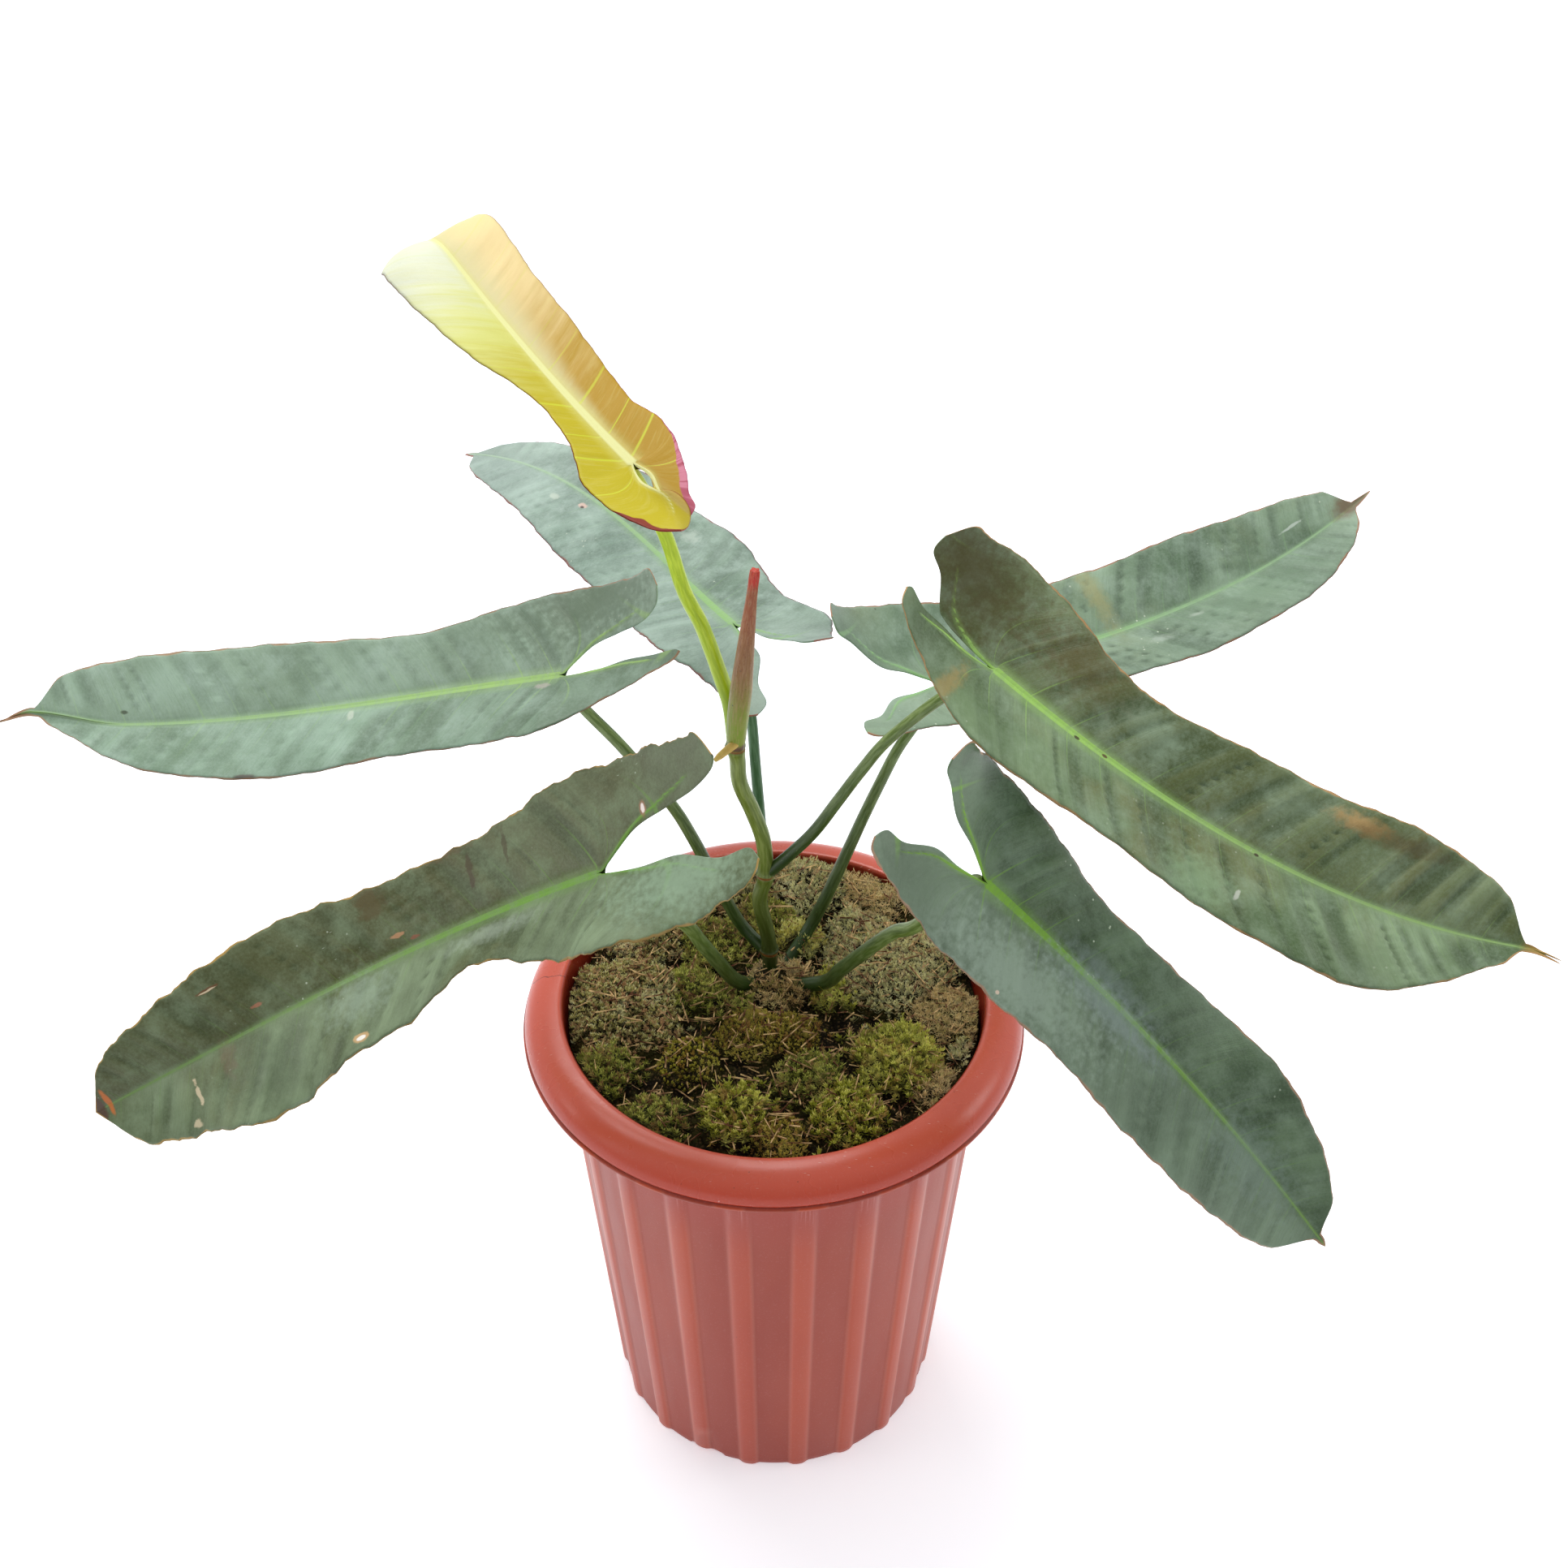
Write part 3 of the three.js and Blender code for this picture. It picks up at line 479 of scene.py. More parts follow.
def midrib_points(leaf, share, steps=240):
    """Places on the midrib: the running sum of short steps ahead, read off between its points."""
    ahead = rib_frame(leaf, (np.arange(steps) + 0.5) / steps)[0]
    run = np.array(leaf["at"]) + np.cumsum(ahead, 0) * leaf["length"] / steps
    track = np.concatenate([[leaf["at"]], run])
    place = np.clip(share, 0, 1) * steps
    return np.stack([np.interp(place, np.arange(steps + 1), track[:, axis]) for axis in range(3)], -1)


def bent(leaf, half, u, v, height):
    """Where the flat points u along the midrib and v to its left lie on a half blade, raised by height.

    The arc out from the midrib is v long and turns by the curl, so its chord is v * sin(turn/2) / (turn/2),
    and it starts at the fold angle. Behind the stalk the blade follows an arc of the lobe's lift likewise.
    """
    share = np.clip(u / leaf["length"], 0, 1)
    ahead, left, up = rib_frame(leaf, share)
    back = np.maximum(-u, 0)
    lift = np.radians(half["lift"]) * back / LIFT_LENGTH
    back_chord = back * np.sinc(lift / 2 / np.pi)
    across = np.abs(v)
    curl = half["curl"][0] * (1 - share) + half["curl"][1] * share
    turn = np.radians(curl) * across / CURL_WIDTH
    fold = np.radians(half["fold"] + half["lobe_fold"] * back / LIFT_LENGTH)
    chord = across * np.sinc(turn / 2 / np.pi)
    rise, wavelength, phase = half["wave"]
    ripple = rise * (across / CURL_WIDTH) ** 2 * np.sin(2 * np.pi * u / wavelength + np.radians(phase))
    raised = up * np.cos(lift)[..., None] + ahead * np.sin(lift)[..., None]
    place = midrib_points(leaf, share)
    place = place - ahead * (back_chord * np.cos(lift / 2))[..., None]
    place = place + up * (back_chord * np.sin(lift / 2))[..., None]
    place = place + left * (np.sign(v) * chord * np.cos(fold + turn / 2))[..., None]
    return place + raised * (chord * np.sin(fold + turn / 2) + ripple + height)[..., None]


# %% [markdown]
# ### The outline between its measured widths
# The widths are known at some stations only. A smooth curve through them must not swing, so each stretch is
# a cubic whose slopes come from its neighbours, the same curve that the solid model runs through its
# control points.

# %% A smooth curve through points
DRIP_HALF = 2.0


def through(points, place):
    """A uniform Catmull-Rom curve through points, at place counted in points from the first."""
    points = np.asarray(points, float)
    last = len(points) - 1
    step = np.clip(np.floor(place).astype(int), 0, last - 1)
    t = (place - step)[:, None]
    before, here, there = points[np.maximum(step - 1, 0)], points[step], points[step + 1]
    after = points[np.minimum(step + 2, last)]
    return ((2 * t**3 - 3 * t**2 + 1) * here + (t**3 - 2 * t**2 + t) * (there - before) * 0.5
            + (3 * t**2 - 2 * t**3) * there + (t**3 - t**2) * (after - here) * 0.5)


def worn_edge(u, roughness, seed):
    """Small in-and-out of a margin in millimetres: waves of 23, 11 and 5 millimetres, each weaker."""
    return roughness * (0.5 * np.sin(u / 3.7 + seed) + 0.32 * np.sin(u / 1.8 + 2.3 * seed)
                        + 0.18 * np.sin(u / 0.8 + 4.1 * seed))


def half_outline(leaf, half, rows, drip, roughness, seed):
    """Inner and outer edge of one half blade, as flat points from the lobe's tip to the leaf's tip.

    Over the last stretch the margin pinches in to a drip tip: a strip that narrows evenly to nothing.
    """
    length, w1, w2, w3 = half["lobe"]
    tip, inner = half["tip"], half["inner"]
    inner_tip = 0.5 * (tip + inner)
    outside = [tip, tip + LOBE_BLUNTNESS * (w3 - tip), w3, w2, w1]
    inside = half["sinus"] or [tip, tip - LOBE_BLUNTNESS * (tip - inner_tip), inner_tip, inner, 0.7 * inner]
    lobe_u = LOBE_STATIONS * length
    margin = np.concatenate([
        np.stack([lobe_u, outside], -1),
        np.stack([STATIONS * leaf["length"], half["widths"]], -1),
        [[leaf["length"], 0.0]],
    ])
    sinus = np.concatenate([np.stack([lobe_u, inside], -1), [[0.0, 0.0]]])
    place = np.linspace(0, len(margin) - 1, rows)
    outer = through(margin, place)
    inner_edge = np.stack([outer[:, 0], np.zeros(rows)], -1)
    in_lobe = place < len(sinus) - 1
    inner_edge[in_lobe] = through(sinus, place[in_lobe])
    u = outer[:, 0]
    drip_start = leaf["length"] - drip
    calm = smooth_step(u, -length, -length + 12) * (1 - smooth_step(u, drip_start - 14, drip_start))
    outer[:, 1] += worn_edge(u, roughness, seed) * calm
    if drip:
        pinch = 1 - smooth_step(u, drip_start - 12, drip_start + 2)
        strip = DRIP_HALF * np.clip((leaf["length"] - u) / drip, 0, 1) ** 0.8 * (u > drip_start - 12)
        outer[:, 1] = np.maximum(outer[:, 1] * pinch, np.minimum(strip, outer[:, 1]))
        outer[-1, 1] = 0
    return inner_edge, outer


sample_edge = half_outline(LEAVES["leaf_left"], LEAVES["leaf_left"]["left"], 40, 14, 0.3, 1.0)[1]
print("widest reach of one half blade in millimetres:", round(float(sample_edge[:, 1].max()), 1))

# %% [markdown]
# ### Relief: midrib, side veins and pleats
# A real blade isn't a plain sheet. The midrib is a rounded band on top and a strong keel below, and each
# lobe has a rib of its own that starts at the end of the midrib. Side veins leave the midrib at a slant and
# bend towards the tip, and the tissue between them swells, so the light breaks in soft pleats. All of it is
# a height added to the bent surface, which costs no extra pieces. Numbers that say how near a point is to a
# rib, and how many side veins it has passed, are kept on every point, so that the paint can follow the same
# lines.

# %% Relief and the vein count
VEIN_STEP = 7.0


def vein_count(u, v, seed):
    """How many vein steps a point lies along: constant along a line that slants and then bends tipwards.

    Behind the stalk the lines fan out round it, because the lobe veins start there. A slow wave makes the
    steps uneven, as they are on a plant.
    """
    across = np.abs(v)
    fan = np.where(u < 0, np.arctan2(across, u) - np.pi / 2, 0.0)
    count = (np.maximum(u, 0) - 26 * fan - 0.42 * across - 0.006 * across**2) / VEIN_STEP
    return count + 0.35 * np.sin(0.83 * count + seed) + 0.2 * np.sin(2.1 * count + 2 * seed)


def rib_nearness(leaf, half, u, v, share_out, width):
    """Distance to the nearest rib, counted in half widths of that rib: 1 is its edge.

    In front of the stalk the rib is the midrib. In a lobe it starts beside the sinus and wanders to the
    middle of the lobe as 0.5 * x^1.8 of the lobe's width, x being the share of the way to the lobe's end.
    """
    share = np.clip(u / leaf["length"], 0, 1)
    back = np.clip(-u / half["lobe"][0], 0, 1)
    midrib = np.abs(v) / (2.35 - 1.95 * share**0.8)
    lobe_rib = np.abs(share_out - 0.5 * back**1.8) * width / (1.05 * (1 - back) + 0.08)
    return np.where(u < 0, lobe_rib + 8 * smooth_step(back, 0.7, 0.9), midrib)


def relief(leaf, look, u, v, share_out, ribs, side_seed):
    """Height of the upper face above the bent sheet, and the pleat on its own between -1 and 1.

    A rib is a bump of exp(-r^2) with a groove on both sides of it. A side vein is a narrow crease where the
    vein count is three times a whole number. Pleats are cosines of the count, as strong as the look's table
    says for the base, the middle and the tip.
    """
    across = np.abs(v)
    share = np.clip(u / leaf["length"], 0, 1)
    bump = 0.5 * (1 - 0.8 * share) * np.exp(-(ribs**2))
    groove = 0.35 * (1 - 0.7 * share) * np.exp(-(((ribs - 1.9) / 0.7) ** 2))
    count = vein_count(u, v, look["seed"])
    third = count / 3
    crease = -look["veins"] * np.exp(-(((third - np.round(third)) * 3 / 0.17) ** 2))
    uneven = count + 0.5 * np.sin(1.3 * count + side_seed) + 0.3 * np.sin(2.9 * count + 2 * side_seed)
    pleat = 0.66 * np.cos(2 * np.pi * uneven / 2.7 + side_seed) + 0.34 * np.cos(2 * np.pi * uneven / 1.15)
    strength = np.interp(share, (0, 0.5, 0.9, 1), (*look["pleats"], 0))
    fade = smooth_step(across, 1.5, 12) * smooth_step(u, -30, 10)
    fade = fade * (1 - 0.55 * smooth_step(share_out, 0.75, 1.0))
    reach = 1 - 0.35 * np.sin(1.7 * count + 3 * side_seed) ** 2
    veins = crease * smooth_step(across, 1, 4) * (1 - 0.8 * share_out)
    return bump - groove + veins + strength * pleat * fade * reach, pleat * fade * np.clip(strength, 0, 1)


# %% [markdown]
# ### One skin for the whole blade
# Two grids per half make the upper and the lower face. Their columns crowd towards the midrib, where the
# relief is fine. The sheet thins to nothing at every free edge, so that the two faces meet there and the
# seams close by themselves. The stalk is a tube that runs up behind the sinus and sinks into the keel, as
# it grows on the plant.

# %% Blade and stalk surfaces
BLADE_COLUMNS = 27
CROWDING = 1.35


def sheet_body(leaf, u, share_out):
    """1 inside a blade, falling to 0 at its margin, along the sinus and towards the end of its tip."""
    in_lobe = smooth_step(-u, 0, 2)
    open_inside = smooth_step(share_out, 0.0, 0.03) * in_lobe + (1 - in_lobe)
    at_tip = np.clip((leaf["length"] - u) / 6, 0, 1) ** 0.5
    return (1 - smooth_step(share_out, 0.93, 1.0)) * open_inside * at_tip


def keel_depth(leaf, u, v, width, slender):
    """Half an ellipse under the midrib, shallower and narrower towards the tip, that ends at the sinus."""
    share = np.clip(u / leaf["length"], 0, 1)
    half_width = np.minimum(3.0 - 1.9 * share, np.maximum(width, 0.1))
    arch = np.sqrt(np.clip(1 - (np.abs(v) / half_width) ** 2, 0, 1))
    return KEEL * (1 - 0.92 * share) * arch * smooth_step(u, -5, 1) * (0.1 + 0.9 * slender)


def swayed(leaf, look, u, v):
    """The flat points moved sideways near the tip: a slow rise before the drip tip and a hook in it."""
    rise, hook = look.get("sway", (0, 0))
    drip_start = leaf["length"] - max(look["drip"], 1)
    v = v + rise * smooth_step(u, leaf["length"] - 70, drip_start - 4)
    return v + hook * np.clip((u - drip_start) / (leaf["length"] - drip_start), 0, 1) ** 1.5


def blade_grids(leaf, look):
    """Points, upper faces, lower faces and carried numbers of a blade."""
    rows = look["rows"]
    spread = (np.arange(BLADE_COLUMNS) / (BLADE_COLUMNS - 1)) ** CROWDING
    points, blade, vein, ribs_out = [], [], [], []
    for half, sign in ((leaf["left"], 1.0), (leaf["right"], -1.0)):
        side_seed = look["seed"] + sign
        inner, outer = half_outline(leaf, half, rows, look["drip"], look["edge"], side_seed)
        flat = inner[:, None] * (1 - spread[None, :, None]) + outer[:, None] * spread[None, :, None]
        u, v = flat[..., 0], sign * flat[..., 1]
        width = np.broadcast_to((outer[:, 1] - inner[:, 1])[:, None], u.shape)
        share_out = np.broadcast_to(spread, u.shape)
        body = sheet_body(leaf, u, share_out)
        sheet = BLADE * np.sqrt(body)
        slender = smooth_step(width, 0.6, 6)
        ribs = rib_nearness(leaf, half, u, v, share_out, width)
        height, pleat = relief(leaf, look, u, v, share_out, ribs, side_seed)
        height = height * body * slender - 0.5 * BLADE
        low = height - 0.5 * sheet - keel_depth(leaf, u, v, width, slender)
        for face_height in (height + 0.5 * sheet, low):
            points.append(bent(leaf, half, u, swayed(leaf, look, u, v), face_height).reshape(-1, 3))
            blade.append(np.stack([u * MM, v * MM, share_out], -1).reshape(-1, 3))
            count = vein_count(u, v, look["seed"])
            vein.append(np.stack([count, width * (1 - share_out), pleat], -1).reshape(-1, 3))
            ribs_out.append(ribs.reshape(-1))
    faces = [grid_faces(rows, BLADE_COLUMNS, start=rank * rows * BLADE_COLUMNS) for rank in range(4)]
    carried = {"blade": np.concatenate(blade), "vein": np.concatenate(vein), "ribs": np.concatenate(ribs_out)}
    return np.concatenate(points), np.concatenate(faces[::2]), np.concatenate(faces[1::2]), carried


def tube(path, radii, sides=20, steps=120, swell=None):
    """A round tube along a smooth path: rings of radius r(t) in the plane across the path, with two caps.

    The grain that it returns is the place on the skin with the length shortened ten times, so that a pattern
    read from it comes out long and narrow along the tube. Next to it is the share of the way to the top.
    """
    t = np.linspace(0, 1, steps)
    centre = through(path, t * (len(path) - 1))
    ahead = np.gradient(centre, axis=0)
    ahead /= np.linalg.norm(ahead, axis=1)[:, None]
    across = np.cross([0.0, -1.0, 0.0], ahead)
    across /= np.linalg.norm(across, axis=1)[:, None]
    other = np.cross(ahead, across)
    radius = np.interp(t * (len(radii) - 1), np.arange(len(radii)), radii)[:, None]
    turn = 2 * np.pi * np.arange(sides) / sides
    radius = radius + (swell(centre, turn[None, :]) if swell else np.zeros((1, sides)))
    ring = centre[:, None] + radius[..., None] * (
        across[:, None] * np.cos(turn)[None, :, None] + other[:, None] * np.sin(turn)[None, :, None])
    points = np.concatenate([ring.reshape(-1, 3), centre[:1], centre[-1:]])
    count = steps * sides
    caps = np.concatenate([fan_faces(count, np.arange(sides), flip=True),
                           fan_faces(count + 1, np.arange(sides) + count - sides)])
    run = np.concatenate([[0], np.cumsum(np.linalg.norm(np.diff(centre, axis=0), axis=1))])
    shortened = np.repeat(run[:, None] / 10, sides, 1)
    grain = np.stack([radius * np.cos(turn), radius * np.sin(turn), shortened], -1)
    grain = np.concatenate([grain.reshape(-1, 3), [[0, 0, 0], [0, 0, run[-1] / 10]]]) * MM
    lengthwise = np.concatenate([np.repeat(t, sides), [0.0, 1.0]])
    return points, grid_faces(steps, sides, around=True), caps, {"grain": grain, "lengthwise": lengthwise}


def stalk_tube(leaf):
    """The stalk's path goes on under the first stretch of the midrib, and its end is thin."""
    ahead, _, up = (arrow[0] for arrow in rib_frame(leaf, np.array([0.0])))
    at = np.array(leaf["at"])
    path = [*leaf["stalk"], at - 5.6 * up - ahead, at - 3.6 * up + 15 * ahead]
    radii = [*np.linspace(*leaf["radii"], len(path) - 1), 0.9]
    return tube(path, radii, steps=110, sides=18)


# %% [markdown]
# ### The leaf's paint
# Grown blades are a dull blue-green with a grey bloom, as if dusted. The ribs are pale, the margin is a
# thin reddish line, and older leaves carry olive and brown clouds, scars and pale specks. The underside is
# lighter and duller. A plain noise over one green would look like plastic, so the paint is built in layers,
# and each layer reads where a point lies in the blade: along the midrib, out from it, on which pleat, and
# between which side veins.

# %% Finishes of the grown leaves
class LeafFinish(Finish):
    """A finish that knows its way about a blade: u along the midrib and v out from it in metres, and ribs."""

    def __init__(self, name, seed, **sockets):
        super().__init__(name, **sockets)
        self.seed = seed
        blade = self.carried("blade")
        self.u, self.v, self.out = self.parts(blade)
        flat = self.node("VectorMath", {0: blade, 1: (1, 1, 0)}, operation="MULTIPLY").outputs["Vector"]
        moved = self.node("VectorMath", {0: flat, 1: (seed, 0.37 * seed, 0)}, operation="ADD")
        self.flat = moved.outputs["Vector"]
        self.count, self.inset, self.pleat = self.parts(self.carried("vein"))
        self.ribs = self.carried("ribs", "Fac")

    def lines(self, along_count, across_scale, detail=3):
        """Noise drawn out along the side veins."""
        place = self.node("CombineXYZ", {0: self.times(self.count, along_count),
                                         1: self.times(self.v, across_scale), 2: self.seed})
        return self.noise(place.outputs[0], 1.0, detail, 0.6)

    def hairlines(self, every, half_width):
        """1 on a line at each whole multiple of the vein count, 0 beside it."""
        place = self.maths("DIVIDE", self.count, every)
        return self.near(place, self.maths("ROUND", place), 0.3 * half_width / every, half_width / every, 1)

    def mark(self, u, v, half_u, half_v, wander, softness):
        """1 inside an oval at u, v in millimetres, with a soft edge that noise pushes in and out."""
        away_u = self.maths("DIVIDE", self.minus(self.u, u * MM), half_u * MM)
        away_v = self.maths("DIVIDE", self.minus(self.v, v * MM), half_v * MM)
        away = self.maths("SQRT", self.plus(self.maths("POWER", away_u, 2), self.maths("POWER", away_v, 2)))
        away = self.plus(away, self.times(self.minus(self.noise(self.flat, 260, 3), 0.5), wander))
        return self.stretch(away, 1 - softness, 1 + softness, 1, 0)


def leaf_paint(name, deep, light, bloom, rib, edge, cloud, cloud_amount, specks, marks, seed, half_tint_and_shade):
    """Upper face: green clouds, a half tint, painted shade in the pleat valleys, faint side veins, pale ribs,
    a thin margin, marks and specks. The half tint is partly the blade's own colour and partly painted
    light and shade.
    """
    f = LeafFinish(name, seed, Specular_IOR_Level=0.42)
    f.colour = f.blend(f.stretch(f.noise(f.flat, 17, 3), 0.36, 0.66), scaled(deep, 0.9), scaled(light, 1.05))
    patch = f.noise(f.flat, 13, 4, 0.6, 0.5)
    f.coat(f.times(f.stretch(patch, 0.47, 0.7), cloud_amount), cloud)
    # half tint: partly the blade's own colour, partly painted light and shade where the halves face the light
    sign, tint, amount = half_tint_and_shade
    f.coat(f.stretch(f.times(f.v, sign), -0.001, 0.004, 0, amount), tint)
    # painted shade: the valleys of the pleats are darkened towards the deep green
    f.coat(f.maths("MAXIMUM", f.stretch(f.pleat, -0.9, 0.6, 0.72, -0.15), 0.0), scaled(deep, 0.68))
    # a dusty bloom, fine lines between the side veins and the weave of the skin
    dust, weave, fine_lines = f.noise(f.flat, 48, 5, 0.7), f.noise(f.flat, 700, 3, 0.6), f.lines(7.0, 120)
    f.coat(f.stretch(dust, 0.42, 0.72, 0, 0.5), bloom)
    f.coat(f.stretch(f.lines(1.0, 26), 0.42, 0.75, 0, 0.12), bloom)
    f.coat(f.stretch(fine_lines, 0.42, 0.75, 0, 0.2), scaled(deep, 0.8))
    f.coat(f.stretch(weave, 0.35, 0.7, 0.0, 0.14), bloom)
    # side veins: clearest beside the midrib and near the stalk
    near_midrib = f.stretch(f.out, 0.0, 0.85, 1, 0)
    f.coat(f.times(f.hairlines(1, 0.05), f.times(near_midrib, 0.06)), rib)
    strongest = f.stretch(f.u, 0.01, 0.09, 0.5, 0.14)
    f.coat(f.times(f.hairlines(3, 0.07), f.times(near_midrib, strongest)), rib)
    # ribs: bright next to the stalk, duller towards the tip
    rib_tint = f.blend(f.stretch(f.u, 0.02, 0.2), rib, [0.5 * (a + b) for a, b in zip(rib, light)])
    rib_tint = f.mix(f.stretch(f.lines(2.0, 40), 0.4, 0.7, 0, 0.35), rib_tint, under_veil(light))
    on_rib = f.maths("MAXIMUM", f.stretch(f.ribs, 0.7, 1.15, 0.95, 0), f.stretch(f.ribs, 1.0, 3.4, 0.3, 0))
    f.coat(on_rib, rib_tint)
    for *oval, mark_colour, strength in marks:
        f.stain(f.times(f.mark(*oval), strength), mark_colour)
    # pale specks and short scratches, in some places only, and a few dark spots
    chosen = f.stretch(f.noise(f.flat, 13, 1), 0.54, 0.64, 0, specks)
    scratches = f.dots(f.slanted(f.flat, (0, 0, 0.8), 5), 70, 0.03, 0.07, 0.8)
    f.stain(f.times(f.maths("MAXIMUM", f.dots(f.flat, 190, 0.05, 0.13), scratches), chosen), (196, 206, 184))
    spotted = f.stretch(f.noise(f.flat, 21, 1), 0.5, 0.6)
    f.stain(f.times(f.dots(f.flat, 33, 0.012, 0.03, 0.8), spotted), (48, 44, 26))
    # margin: a line half a millimetre wide that swells here and there
    swell = f.stretch(f.noise(f.flat, 60, 2), 0.45, 0.7, 0.35, 1.1)
    f.coat(f.stretch(f.maths("DIVIDE", f.inset, swell), 0.6, 1.6, 0.85, 0), edge)
    grain = f.plus(f.times(weave, 0.5), f.times(fine_lines, 0.8))
    return f.done(f.stretch(dust, 0.35, 0.7, 0.36, 0.58), f.bumped(grain, 0.0004, 0.45))


def underside_paint(name, base, rib, edge, seed):
    """Lower face: a lighter dull green with pale side veins and a strong pale keel."""
    f = LeafFinish(name, seed, Roughness=0.6, Specular_IOR_Level=0.35)
    pale = [min(255, c * 1.16 + 6) for c in base]
    f.colour = f.blend(f.stretch(f.noise(f.flat, 22, 4), 0.35, 0.7), base, pale)
    f.coat(f.stretch(f.lines(5.0, 90), 0.4, 0.75, 0, 0.25), rib)
    f.coat(f.times(f.hairlines(1, 0.08), 0.3), rib)
    f.coat(f.times(f.near(f.v, 0.0, 0.0016, 0.003, 0.9), f.stretch(f.u, -0.012, 0.0)), rib)
    f.coat(f.stretch(f.inset, 0.3, 1.2, 0.85, 0), edge)
    return f.done(normal=f.bumped(f.noise(f.flat, 500, 2), 0.0003, 0.4))


def stalk_paint(name, base, dark, light, foot=0.8):
    """A stalk: lengthwise streaks, a darker foot and small pale flecks."""
    f = Finish(name, Roughness=0.4, Specular_IOR_Level=0.45)
    grain = f.carried("grain")
    streaks = f.noise(grain, 900, 3)
    f.colour = f.blend(f.stretch(streaks, 0.35, 0.7), base, light)
    f.coat(f.stretch(f.carried("lengthwise", "Fac"), 0.05, 0.75, foot, 0.0), dark)
    f.coat(f.stretch(f.noise(grain, 260, 2), 0.5, 0.68, 0, 0.4), dark)
    f.stain(f.dots(f.place(), 430, 0.05, 0.12, 0.55), light)
    return f.done(normal=f.bumped(streaks, 0.0002, 0.4))


# %% [markdown]
# ### Seven leaves
# The same surface serves all of them. What differs is in a table: how strongly the blade is pleated towards
# its base, middle and tip, how long its drip tip is, its greens, and how worn it is. Single marks, such as
# the dead tip of the oldest leaf or a tan stripe, are ovals on the flat blade. A row of their table gives
# the middle along and across the blade, the half sizes, all in millimetres, how far the edge wanders, how
# soft it is, the colour and the strength.

